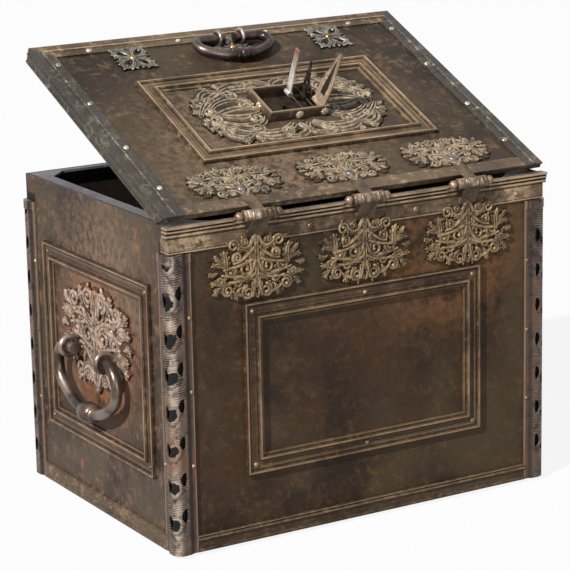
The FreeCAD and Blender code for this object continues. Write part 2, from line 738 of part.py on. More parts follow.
# Border of the lid: folded strips on three sides with a skirt outside the walls, a flat one at the hinge
border_inner = lid_half_outer - border_width
far_border_inner = lid_far_outer - border_width
near_border_inner = lid_near + hinge_border_width
bead_x = (lid_half_outer + border_inner) / 2
side_strip = prism([vec(border_inner, lid_near, plate_top), vec(lid_half_outer, lid_near, plate_top),
                    vec(lid_half_outer, lid_far_outer, plate_top),
                    vec(border_inner, far_border_inner, plate_top),
                    vec(border_inner, near_border_inner, plate_top)], vec(0, 0, border_t))
side_bead = rod(border_bead_r, vec(bead_x, lid_near, border_top),
                vec(bead_x, lid_far_outer - border_width / 2, border_top))
skirt_points = [vec(lid_half_inner, lid_near, border_top), vec(lid_half_inner, lid_far_outer, border_top),
                vec(lid_half_inner, lid_far_outer, skirt_low),
                vec(lid_half_inner, lid_near + skirt_end_cut, skirt_low)]
side_skirt = prism(skirt_points, vec(skirt_t, 0, 0))
skirt_beads = []
for share in (0.12, 0.62):
    z = skirt_low + share * (border_top - skirt_low)
    start_y = lid_near + skirt_end_cut * (1 - share)
    skirt_beads.append(rod(skirt_bead_r, vec(lid_half_outer, start_y, z),
                           vec(lid_half_outer, lid_far_outer, z)))
right_border = fused([side_strip, side_bead, side_skirt] + skirt_beads)
right_border = right_border.cut(block(0, lid_half_inner, lid_near, lid_far_outer, skirt_low - overrun,
                                      plate_top))
keep("lid_border_right", opened(right_border))
keep("lid_border_left", opened(mirror_x(right_border)))
far_strip = prism([vec(-lid_half_outer, lid_far_outer, plate_top), vec(lid_half_outer, lid_far_outer, plate_top),
                   vec(border_inner, far_border_inner, plate_top),
                   vec(-border_inner, far_border_inner, plate_top)], vec(0, 0, border_t))
far_strip = far_strip.cut(fused([side_strip, mirror_x(side_strip)]))
bead_y = (lid_far_outer + far_border_inner) / 2
far_bead = rod(border_bead_r, vec(-bead_x + border_bead_r, bead_y, border_top),
               vec(bead_x - border_bead_r, bead_y, border_top))
far_skirt = block(-lid_half_inner, lid_half_inner, lid_far_inner, lid_far_outer, skirt_low, border_top)
far_skirt_beads = []
for share in (0.12, 0.62):
    z = skirt_low + share * (border_top - skirt_low)
    far_skirt_beads.append(rod(skirt_bead_r, vec(-lid_half_inner, lid_far_outer, z),
                               vec(lid_half_inner, lid_far_outer, z)))
far_border = fused([far_strip, far_bead, far_skirt] + far_skirt_beads).cut(right_border)
keep("lid_border_opening", opened(far_border.cut(mirror_x(right_border))))
near_strip = prism([vec(-lid_half_outer, lid_near, plate_top), vec(lid_half_outer, lid_near, plate_top),
                    vec(border_inner, near_border_inner, plate_top),
                    vec(-border_inner, near_border_inner, plate_top)], vec(0, 0, border_t))
keep("lid_border_hinge", opened(near_strip.cut(fused([right_border, mirror_x(right_border)]))))

# Moulded frame on the lid
lid_frame = moulded_frame(-lid_frame_half_width, lid_frame_half_width, lid_frame_near, lid_frame_far,
                          frame_width, frame_height)
keep("panel_frame_lid", opened(on_lid(lid_frame, plate_top)))

# Upper hinge leaves: one knuckle, a strap over the border, and a pierced plate on the lid
upper_low = hinge_border_width + side_gap
upper_scrolls = scroll_plate(upper_plate_width / 2, 0, upper_plate_height, ornament_t)
upper_scrolls = turned(upper_scrolls, vec(0, upper_plate_height / 2, 0), vec(0, 0, 1), 180)
upper_scrolls = upper_scrolls.cut(block(-upper_plate_width, upper_plate_width, -overrun, 0, 0, ornament_t))
upper_plate = on_lid(moved(upper_scrolls, 0, upper_low, 0), plate_top)
mid_half = knuckle_mid_length / 2
upper_knuckle = rod(knuckle_r, vec(-mid_half, axis_y, axis_z), vec(mid_half, axis_y, axis_z))
strap_top = axis_z + knuckle_r
strap_reach = lid_near + upper_low
upper_strap = block(-mid_half, mid_half, axis_y, strap_reach, strap_top - leaf_t, strap_top)
strap_foot = block(-strap_half, strap_half, strap_reach, strap_reach + strap_width, plate_top, strap_top)
upper_leaf = fused([upper_knuckle, upper_strap, strap_foot, upper_plate])
lid_pin_bore = rod(pin_r + running_gap, vec(-knuckle_half, axis_y, axis_z),
                   vec(knuckle_half, axis_y, axis_z))
upper_leaf = upper_leaf.cut(lid_pin_bore)
for name, x in zip(("left", "middle", "right"), hinge_centres):
    keep("upper_hinge_" + name, opened(moved(upper_leaf, x, 0, 0)))

# Keyhole box: four low walls on the lid, carrying three cross pins
box_y0 = lid_near + box_near
box_y1 = lid_near + box_far
box_top = plate_top + box_height
box_inner = block(-box_half_width + box_wall, box_half_width - box_wall, box_y0 + box_wall,
                  box_y1 - box_wall, plate_top - overrun, box_top + overrun)
keyhole_box = block(-box_half_width, box_half_width, box_y0, box_y1, plate_top, box_top).cut(box_inner)
pin_z = plate_top + cover_pin_up
cover_pins = []
for x in (strip_x, leaf_x, flap_x):
    cover_pins.append(rod(cover_pin_r, vec(x, box_y0 + box_wall / 2, pin_z),
                          vec(x, box_y1 - box_wall / 2, pin_z)))
    keyhole_box = keyhole_box.cut(rod(cover_pin_r + running_gap, vec(x, box_y0 + box_wall / 2, pin_z),
                                      vec(x, box_y1 - box_wall / 2, pin_z)))
keep("keyhole_box", opened(keyhole_box))
keep("cover_pins", opened(Part.Compound(cover_pins)))

# Cover leaves: each stands in its own lane between the box walls and turns on its pin
lane_start = box_y0 + box_wall + side_gap
flap_lane = (lane_start, lane_start + flap_width)
leaf_lane = (flap_lane[1] + work_gap, flap_lane[1] + work_gap + leaf_width)
strip_lane = (leaf_lane[1] + work_gap, leaf_lane[1] + work_gap + strip_width)


def cover_leaf(x, lane, outline_shares, length):
    curl = rod(cover_curl_r, vec(x, lane[0], pin_z), vec(x, lane[1], pin_z))
    points = []
    for across, up in outline_shares:
        points.append(vec(x - cover_t / 2, lane[0] + across * (lane[1] - lane[0]), pin_z + up * length))
    blade = prism(points, vec(cover_t, 0, 0))
    bore = rod(cover_pin_r + running_gap, vec(x, lane[0] - overrun, pin_z),
               vec(x, lane[1] + overrun, pin_z))
    return fused([curl, blade]).cut(bore)


strip_shares = [(0.0, 0.0), (1.0, 0.0), (0.92, 1.0), (0.08, 1.0)]
leaf_shares = [(0.1, 0.0), (0.9, 0.0), (1.0, 0.35), (0.55, 1.0), (0.45, 1.0), (0.0, 0.35)]
flap_shares = [(0.0, 0.0), (1.0, 0.0), (1.0, 0.35), (0.62, 1.0), (0.38, 1.0), (0.0, 0.35)]
flap_gap_shares = [(0.30, 0.18), (0.70, 0.18), (0.72, 0.34), (0.52, 0.86), (0.48, 0.86), (0.28, 0.34)]
cover_strip = cover_leaf(strip_x, strip_lane, strip_shares, strip_length)
keep("keyhole_strip", opened(cover_strip))
cover_middle = cover_leaf(leaf_x, leaf_lane, leaf_shares, leaf_length)
leaf_hole = Part.makeCylinder(leaf_width * 0.2, cover_t * 2, vec(leaf_x - cover_t, sum(leaf_lane) / 2,
                              pin_z + leaf_length * 0.4), vec(1, 0, 0))
keep("keyhole_leaf", opened(cover_middle.cut(leaf_hole)))
flap = cover_leaf(flap_x, flap_lane, flap_shares, flap_length)
gap_points = []
for across, up in flap_gap_shares:
    gap_points.append(vec(flap_x - cover_t, flap_lane[0] + across * flap_width, pin_z + up * flap_length))
flap = flap.cut(prism(gap_points, vec(cover_t * 2, 0, 0)))
flap = turned(flap, vec(flap_x, lock_y, pin_z), vec(0, 1, 0), flap_lean)
keep("keyhole_flap", opened(flap))

# Scroll plate round the keyhole box
half_span_v = (lid_ornament_far - lid_ornament_near) / 2
middle_v = (lid_ornament_far + lid_ornament_near) / 2
lid_scrolls = scroll_plate(half_span_v, 0, lid_ornament_half, ornament_t)
left_scrolls = turned(lid_scrolls, vec(0, 0, 0), vec(0, 0, 1), 90)
right_scrolls = turned(lid_scrolls, vec(0, 0, 0), vec(0, 0, 1), -90)
field = block(-box_half_width * 1.2, box_half_width * 1.2, -half_span_v * 0.75, half_span_v * 0.75, 0,
              ornament_t)
scrolls = fused([moved(left_scrolls, 0, middle_v, 0), moved(right_scrolls, 0, middle_v, 0),
                 moved(field, 0, middle_v, 0)])
lid_ornament = on_lid(scrolls, plate_top)
lid_ornament = lid_ornament.cut(block(-box_half_width, box_half_width, box_y0, box_y1,
                                      plate_top - overrun, box_top))
keep("lid_ornament", opened(lid_ornament))

# Pierced rosettes near the opening edge, each under a brass ball rivet
rosette = [Part.makeCylinder(rosette_half * 0.3, rosette_t)]
for quarter in range(4):
    petal = leaf_bar(0, 0, rosette_half, 0, rosette_half * 0.62, rosette_t, 0)
    slot = leaf_bar(rosette_half * 0.42, 0, rosette_half * 0.8, 0, rosette_half * 0.16, rosette_t, 0)
    rosette.append(turned(petal.cut(slot), vec(0, 0, 0), vec(0, 0, 1), 45 + 90 * quarter))
rosette = fused(rosette)
rosettes = []
brass_rivets = []
lid_ring_r = lid_bar_r + eye_clear + lid_eye_wire_r
eye_feet = [Part.makeCylinder(lid_ring_r + side_gap, rosette_t, vec(side * lid_eye_half, lid_handle_t, 0))
            for side in (-1, 1)]
for u in (-rosette_spread, 0, rosette_spread):
    rosettes.append(on_lid(moved(rosette, u, rosette_place, 0).cut(Part.Compound(eye_feet)), plate_top))
    brass_rivets.append(on_lid(dome(brass_r, brass_r * 0.9, u, rosette_place), plate_top + rosette_t))
keep("rosettes", opened(Part.Compound(rosettes)))
keep("rosette_rivets", opened(Part.Compound(brass_rivets)))

# Drop handle on the lid, lying towards the hinge
lid_axis_y = lid_near + lid_handle_t
lid_axis_z = plate_top + lid_axis_up
lid_handle = bail(lid_end_half, lid_half_width, lid_shoulder_r, lid_bend_r, lid_drop, lid_bar_r,
                  lid_bead_r, lid_bead_length)
lid_handle = turned(lid_handle, vec(0, 0, 0), vec(1, 0, 0), -90)
keep("lid_handle", opened(moved(lid_handle, 0, lid_axis_y, lid_axis_z)))
lid_eye = eye(lid_ring_r, lid_eye_wire_r, lid_axis_up, lid_ring_r, lid_eye_collar_t, eye_wire_r)
lid_eye = turned(lid_eye, vec(0, 0, 0), vec(1, 0, 0), -90)
lid_eye = lid_eye.common(block(-lid_drop, lid_drop, -lid_drop, far_border_inner - lid_axis_y, -lid_axis_up,
                               lid_drop))
lid_eyes = [moved(lid_eye, side * lid_eye_half, lid_axis_y, lid_axis_z) for side in (-1, 1)]
keep("lid_handle_eyes", opened(Part.Compound(lid_eyes)))

# Rivet heads on the walls: panel frames, top band, hinge plates and the edge strips of the trims
wall_rivets = []
valley = valley_share * frame_width
frame_head = moved(dome(frame_rivet_r, rivet_height, 0, 0), 0, 0, valley_height_share * frame_height)
for u in (-wall_frame_half_width + valley, 0, wall_frame_half_width - valley):
    for v in (body_low + wall_frame_low + valley, body_low + wall_frame_high - valley):
        head = moved(frame_head, u, v, 0)
        wall_rivets += [on_hinge_wall(head), on_opening_wall(head)]
for u in (-side_frame_half_depth + valley, side_frame_half_depth - valley):
    for v in (body_low + side_frame_low + valley, body_low + side_frame_high - valley):
        head = moved(frame_head, u, v, 0)
        wall_rivets += [on_left_wall(head), on_right_wall(head)]
strip_middle = (band_low + step_low) / 2
band_head = moved(dome(rivet_r, rivet_height, 0, 0), 0, strip_middle, top_strip_t)
for x in (-1.5 * hinge_pitch, -0.5 * hinge_pitch, 0.5 * hinge_pitch, 1.5 * hinge_pitch):
    wall_rivets.append(on_hinge_wall(moved(band_head, x, 0, 0)))
leaf_head = moved(dome(rivet_r, rivet_height, 0, 0), 0, plate_high - leaf_t - rivet_r * 2, leaf_t)
for x in hinge_centres:
    wall_rivets.append(on_hinge_wall(moved(leaf_head, x, 0, 0)))
edge_u = half_width - trim_leg + trim_edge_width / 2
edge_v = body_depth / 2 - trim_leg + trim_edge_width / 2
edge_head = moved(dome(trim_rivet_r, rivet_height, 0, 0), 0, 0, trim_edge_t)
for index in range(1, trim_hole_count - 1, 2):
    z = body_low + trim_hole_first + (index + 0.5) * trim_hole_pitch
    for side in (-1, 1):
        head = moved(edge_head, side * edge_u, z, 0)
        wall_rivets += [on_hinge_wall(head), on_opening_wall(head)]
        head = moved(edge_head, side * edge_v, z, 0)
        wall_rivets += [on_left_wall(head), on_right_wall(head)]
keep("wall_rivets", Part.Compound(wall_rivets))

# Rivet heads on the lid: along the border strips and on the upper hinge leaves
lid_rivets = []
border_head = dome(border_rivet_r, rivet_height, 0, 0)
border_rivet_x = (bead_x - border_bead_r + border_inner) / 2
for share in (0.15, 0.38, 0.64, 0.88):
    for side in (-1, 1):
        lid_rivets.append(on_lid(moved(border_head, side * border_rivet_x, share * lid_run, 0), border_top))
border_rivet_y = (bead_y - border_bead_r + far_border_inner) / 2 - lid_near
for share in (-0.8, -0.27, 0.27, 0.8):
    lid_rivets.append(on_lid(moved(border_head, share * border_inner, border_rivet_y, 0), border_top))
for x in hinge_centres:
    head = moved(dome(rivet_r, rivet_height, 0, 0), x, upper_low + strap_width / 2, 0)
    lid_rivets.append(on_lid(head, strap_top))
keep("lid_rivets", opened(Part.Compound(lid_rivets)))

# Shell-headed rivets on the outside of the keyhole box
shell = dome(shell_r, shell_height, 0, 0)
shell_z = plate_top + box_height / 2
box_rivets = []
for x in (0, box_half_width - shell_r):
    near_shell = turned(shell, vec(0, 0, 0), vec(1, 0, 0), 90)
    box_rivets.append(moved(near_shell, x, box_y0, shell_z))
for side in (-1, 1):
    end_shell = turned(shell, vec(0, 0, 0), vec(0, 1, 0), side * 90)
    box_rivets.append(moved(end_shell, side * box_half_width, lock_y, shell_z))
keep("box_rivets", opened(Part.Compound(box_rivets)))

# Lock plate under the lid, with the bore that the key hub turns in
lock_top = rim
lock_low = rim - lock_plate_t
bar_top = lock_low - side_gap
bar_low = bar_top - bar_t
cover_top = bar_low - side_gap
cover_low = cover_top - cover_plate_t
far_tip = opening_face - bolt_tip_back
side_tip = half_width - bolt_tip_back
far_reach = far_tip - lock_y
lock_plate = fused([block(-lock_half_width, lock_half_width, lock_y - lock_half_depth,
                          lock_y + lock_half_depth, lock_low, lock_top),
                    block(-lock_wing_half, lock_wing_half, lock_y, far_tip, lock_low, lock_top)])
hub_bore = rod(hub_collar_r + running_gap, vec(0, lock_y, cover_low - overrun),
               vec(0, lock_y, lock_top + overrun))
keep("lock_plate", opened(lock_plate.cut(hub_bore)))

# Throw bars: two bolt heads on a crossbar, and a tail notched for an arm of the key hub.
# Each is drawn for the left end, moving out along -X, and turned about the keyhole for its side.
half_swing = math.asin(bolt_throw / 2 / arm_radius)
notch_half_width = arm_tip_r + work_gap
notch_x = bolt_throw / 2


def throw_bar(reach, bolt_half):
    cross_out = reach - guide_back - guide_t - bolt_throw - work_gap
    cross_in = cross_out - crossbar_width
    pieces = [block(-cross_out, -cross_in, -bolt_half - bolt_width / 2, bolt_half + bolt_width / 2,
                    bar_low, bar_top),
              block(-cross_out, notch_x + notch_half_width + tail_over, arm_radius - tail_in,
                    arm_radius - tail_in + tail_width, bar_low, bar_top)]
    for side in (-1, 1):
        pieces.append(block(-reach, -cross_in, side * bolt_half - bolt_width / 2,
                            side * bolt_half + bolt_width / 2, bar_low, bar_top))
    notch = block(notch_x - notch_half_width, notch_x + notch_half_width, arm_radius - tail_in * 2,
                  arm_radius + arm_tip_r + work_gap, bar_low - overrun, bar_top + overrun)
    return fused(pieces).cut(notch)


def at_lock(shape, angle):
    return opened(moved(turned(shape, vec(0, 0, 0), vec(0, 0, 1), angle), 0, lock_y, 0))


side_bar = throw_bar(side_tip, side_bolt_half)
far_bar = throw_bar(far_reach, far_bolt_half)
keep("throw_bar_left", at_lock(side_bar, 0))
keep("throw_bar_right", at_lock(side_bar, 180))
keep("throw_bar_opening", at_lock(far_bar, -90))

# Guides: staples under the lock plate that hold the bolt heads and the tails
guide_low = cover_top - guide_wall


def guide(along_x, centre_y, width):
    half = width / 2 + side_gap
    body = block(-along_x, -along_x + guide_t, centre_y - half - guide_wall, centre_y + half + guide_wall,
                 guide_low, lock_low)
    return body.cut(block(-along_x - overrun, -along_x + guide_t + overrun, centre_y - half, centre_y + half,
                          cover_top, lock_low))


guides = []
tail_middle = arm_radius - tail_in + tail_width / 2
for reach, bolt_half, angle in ((side_tip, side_bolt_half, 0), (side_tip, side_bolt_half, 180),
                                (far_reach, far_bolt_half, -90)):
    for side in (-1, 1):
        guides.append(at_lock(guide(reach - guide_back, side * bolt_half, bolt_width), angle))
for angle in (0, 180):
    guides.append(at_lock(guide(cover_plate_half_width + guide_t * 2, tail_middle, tail_width), angle))
keep("bolt_guides", Part.Compound(guides))

# Key hub: a sleeve that the key fills, with three arms whose round tips work the bars
hub_parts = [rod(hub_r, vec(0, 0, bar_low), vec(0, 0, bar_top)),
             rod(hub_collar_r, vec(0, 0, cover_low - hub_nose), vec(0, 0, lock_top - side_gap))]
for angle in (-90, 0, 90):
    arm = fused([block(0, arm_radius, -arm_width / 2, arm_width / 2, bar_low, bar_top),
                 rod(arm_tip_r, vec(arm_radius, 0, bar_low), vec(arm_radius, 0, bar_top))])
    hub_parts.append(turned(arm, vec(0, 0, 0), vec(0, 0, 1), angle - math.degrees(half_swing)))
hub = fused(hub_parts)
socket = fused([rod(keyhole_r, vec(0, 0, cover_low - overrun), vec(0, 0, lock_top + overrun)),
                block(-keyhole_slot_width / 2, keyhole_slot_width / 2, -keyhole_slot_length, 0,
                      cover_low - overrun, lock_top + overrun)])
keep("key_hub", at_lock(hub.cut(socket), 0))

# Pierced cover over the middle of the lock, on four posts
lock_cover = [block(-cover_plate_half_width, cover_plate_half_width, -cover_plate_half_depth,
                    cover_plate_half_depth, cover_low, cover_top)]
for x in (-cover_plate_half_width + post_inset, cover_plate_half_width - post_inset):
    for y in (-cover_plate_half_depth + post_inset, cover_plate_half_depth - post_inset):
        lock_cover.append(rod(post_r, vec(x, y, cover_low), vec(x, y, lock_low)))
lock_cover = fused(lock_cover)
windows = [rod(hub_collar_r + running_gap, vec(0, 0, cover_low - overrun), vec(0, 0, cover_top + overrun))]
for x in (-cover_plate_half_width * 0.6, 0, cover_plate_half_width * 0.6):
    for y in (-cover_plate_half_depth * 0.6, cover_plate_half_depth * 0.6):
        windows.append(rod(cover_hole_r, vec(x, y, cover_low - overrun), vec(x, y, cover_top + overrun)))
keep("lock_cover", at_lock(lock_cover.cut(fused(windows)), 0))

print("hinge axis y", round(axis_y, 4), "z", round(axis_z, 4), "lid near", round(lid_near, 4))
print("body y", round(body_y, 4), "swing", round(math.degrees(2 * half_swing), 4), "degrees, throw per radian",
      round(bolt_throw / (2 * half_swing), 4))
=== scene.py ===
import math
import bmesh
import bpy
import numpy as np
from mathutils import Matrix, Vector


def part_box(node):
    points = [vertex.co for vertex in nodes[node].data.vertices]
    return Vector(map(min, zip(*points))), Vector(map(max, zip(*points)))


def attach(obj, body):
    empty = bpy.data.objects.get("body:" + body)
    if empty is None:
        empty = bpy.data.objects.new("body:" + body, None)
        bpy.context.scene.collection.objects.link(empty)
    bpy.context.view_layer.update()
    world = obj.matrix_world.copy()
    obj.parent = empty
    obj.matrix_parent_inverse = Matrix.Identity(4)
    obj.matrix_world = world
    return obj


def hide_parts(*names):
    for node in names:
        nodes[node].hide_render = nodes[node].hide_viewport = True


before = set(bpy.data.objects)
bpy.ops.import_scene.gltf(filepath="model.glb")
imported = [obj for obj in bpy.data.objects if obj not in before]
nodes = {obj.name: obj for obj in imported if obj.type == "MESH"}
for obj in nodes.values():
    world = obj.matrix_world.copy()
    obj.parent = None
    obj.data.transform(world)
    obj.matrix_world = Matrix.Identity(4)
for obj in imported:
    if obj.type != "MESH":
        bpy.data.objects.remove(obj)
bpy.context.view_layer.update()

scene = bpy.context.scene
scene.view_settings.view_transform = "Standard"

# Camera: a long lens standing off the corner between the hinge wall and the left end wall.
# Its place and turn were solved from the chest's own edges in the photograph.
camera_place = (-1.28768, -2.16252, 0.85351)
camera_round, camera_up, camera_roll = -30.762, 14.236, -1.16
camera_data = bpy.data.cameras.new("camera")
camera_data.sensor_width = 36
camera_data.lens = 154.572
camera = bpy.data.objects.new("camera", camera_data)
camera.matrix_world = Matrix.Translation(camera_place)
for angle, axis in ((camera_round, "Z"), (90 - camera_up, "X"), (camera_roll, "Z")):
    camera.matrix_world = camera.matrix_world @ Matrix.Rotation(math.radians(angle), 4, axis)
scene.collection.objects.link(camera)
scene.camera = camera

# Studio: a pale floor, a sun from the left, a soft box low at the left front, a small lamp behind the
# lid and an even pale sky. The camera and mirror-like surfaces see the sky as white, the camera sees
# the floor almost white, and the floor keeps a shadow.
def lamp(name, kind, energy, place, aim, size):
    data = bpy.data.lights.new(name, kind)
    data.energy = energy
    if kind == "AREA":
        data.shape = "DISK"
        data.size = size
    else:
        data.angle = size
    light = bpy.data.objects.new(name, data)
    towards = (Vector(place) - Vector(aim)).to_track_quat("Z", "Y")
    light.matrix_world = Matrix.Translation(Vector(place)) @ towards.to_matrix().to_4x4()
    scene.collection.objects.link(light)


lamp("sun", "SUN", 8.1, (-0.72, -0.29, 0.80), (0, 0, 0.2), math.radians(1.5))
lamp("soft_box", "AREA", 14, (-0.8, -1.9, 0.42), (0, 0, 0.2), 0.6)
lamp("lid_sheen", "AREA", 0.4, (0.68, 0.68, 1.59), (-0.1, -0.05, 0.4), 0.45)


def add_node(tree, kind, values=None, out=0, **settings):
    """Add a node and give one of its outputs. Inputs are numbers, colours or sockets to link."""
    made = tree.nodes.new(kind)
    for key, value in settings.items():
        setattr(made, key, value)
    for key, value in (values or {}).items():
        if isinstance(value, bpy.types.NodeSocket):
            tree.links.new(value, made.inputs[key])
        elif value is not None:
            made.inputs[key].default_value = value
    return made.outputs[out] if made.outputs else None


def two_faced(tree, share, plain, seen, surface):
    """One shader for most rays, and another for the share of them that is given."""
    mixed = add_node(tree, "ShaderNodeMixShader", {0: share, 1: plain, 2: seen})
    add_node(tree, "ShaderNodeOutput" + surface, {"Surface": mixed})


white = (1, 1, 1, 1)
sky_strength, floor_grey, floor_glow = 0.06, 0.45, 0.9
world = bpy.data.worlds.new("studio")
scene.world = world
world.use_nodes = True
sky = world.node_tree
sky.nodes.clear()
camera_ray, glossy_ray, clear_ray = (add_node(sky, "ShaderNodeLightPath", out=ray)
        for ray in ("Is Camera Ray", "Is Glossy Ray", "Is Transmission Ray"))
mirrored = add_node(sky, "ShaderNodeMath", {0: glossy_ray, 1: clear_ray}, operation="MAXIMUM")
shown = add_node(sky, "ShaderNodeMath", {0: camera_ray, 1: mirrored}, operation="MAXIMUM")
sky_lit, sky_seen = (add_node(sky, "ShaderNodeBackground", {"Color": white, "Strength": strength})
        for strength in (sky_strength, 1.0))
two_faced(sky, shown, sky_lit, sky_seen, "World")

floor_mesh = bpy.data.meshes.new("floor")
floor_mesh.from_pydata([(-6, -6, 0), (6, -6, 0), (6, 6, 0), (-6, 6, 0)], [], [(0, 1, 2, 3)])
floor = bpy.data.objects.new("floor", floor_mesh)
scene.collection.objects.link(floor)
floor_paint = bpy.data.materials.new("pale_floor")
floor_paint.use_nodes = True
ground = floor_paint.node_tree
ground.nodes.clear()
camera_ray = add_node(ground, "ShaderNodeLightPath", out="Is Camera Ray")
share = add_node(ground, "ShaderNodeMath", {0: camera_ray, 1: floor_glow}, operation="MULTIPLY")
matt = add_node(ground, "ShaderNodeBsdfDiffuse", {"Color": (floor_grey, floor_grey, floor_grey, 1)})
two_faced(ground, share, matt, add_node(ground, "ShaderNodeEmission", {"Color": white}), "Material")
floor_mesh.materials.append(floor_paint)

# Walls and floor of the chest: hammered and rolled iron plate, browned by age and rusted in places.
# The plates are riveted to each other under the corner trims. All iron of the chest starts from this
# finish, which every other section tints for its own pieces.
class Wire:
    """A value in a material. Sums on it are written as plain expressions."""

    def __init__(self, paint, socket):
        self.paint = paint
        self.socket = socket

    def maths(self, operation, *others):
        return self.paint.node("ShaderNodeMath", dict(enumerate((self, *others))), operation=operation)

    def __add__(self, other):
        return self.maths("ADD", other)

    def __sub__(self, other):
        return self.maths("SUBTRACT", other)

    def __mul__(self, other):
        return self.maths("MULTIPLY", other)

    def __truediv__(self, other):
        return self.maths("DIVIDE", other)

    def clamp(self):
        return self.paint.node("ShaderNodeClamp", {0: self})

    def band(self, low, high, start=0.0, end=1.0):
        """A soft step from one level of this value to another, which may be the lower one."""
        return self.paint.node("ShaderNodeMapRange", {"Value": self, "From Min": low, "From Max": high,
                "To Min": start, "To Max": end}, interpolation_type="SMOOTHSTEP")


class Paint:
    """One material, its nodes, and the colour laid so far. Three numbers are a colour from 0 to 255."""

    def __init__(self, name):
        self.material = bpy.data.materials.new(name)
        self.material.use_nodes = True
        self.tree = self.material.node_tree
        self.tree.nodes.clear()
        self.place = self.node("ShaderNodeTexCoord", {}, "Object")
        self.color = None

    def node(self, kind, values, out=0, **settings):
        sockets = {key: value.socket if isinstance(value, Wire) else value
                for key, value in values.items()}
        return Wire(self, add_node(self.tree, kind, sockets, out, **settings))

    def noise(self, scale, detail=4.0, rough=0.55, stretch=None):
        place = self.place
        if stretch:
            place = self.node("ShaderNodeMapping", {"Vector": place, "Scale": stretch})
        return self.node("ShaderNodeTexNoise", {"Vector": place, "Scale": scale, "Detail": detail,
                "Roughness": rough})

    def mix(self, share, first, second, how="MIX"):
        first, second = (tone(*shade) if isinstance(shade, tuple) and len(shade) == 3 else shade
                for shade in (first, second))
        return self.node("ShaderNodeMix", {0: share, 6: first, 7: second}, 2, data_type="RGBA",
                blend_type=how)

    def lay(self, share, shade, how="MIX"):
        """Lay one more coat, thick where the share is high."""
        self.color = self.mix(share, self.color, shade, how)

    def along(self, direction):
        return self.node("ShaderNodeVectorMath", {0: self.place, 1: direction}, "Value",
                operation="DOT_PRODUCT")

    def from_spot(self, spot):
        return self.node("ShaderNodeVectorMath", {0: self.place, 1: spot}, "Value",
                operation="DISTANCE")

    def attribute(self, name):
        return self.node("ShaderNodeAttribute", {}, "Fac", attribute_name=name)

    def finish(self, rough, metal, height, depth=0.0004, gloss=0.5):
        normal = self.node("ShaderNodeBump", {"Height": height, "Distance": depth, "Strength": 1.0})
        shader = self.node("ShaderNodeBsdfPrincipled",
                {"Base Color": self.color, "Roughness": rough.clamp(), "Metallic": metal,
                "Normal": normal})
        shader.socket.node.inputs["Specular IOR Level"].default_value = gloss
        self.node("ShaderNodeOutputMaterial", {"Surface": shader})
        return self.material


def tone(red, green, blue):
    """A colour given as the eye reads it, from 0 to 255."""
    return tuple((part / 255 / 12.92) if part <= 10 else ((part / 255 + 0.055) / 1.055) ** 2.4
            for part in (red, green, blue)) + (1.0,)


brown_lacquer = (1.07, 0.98, 0.84, 1.0)


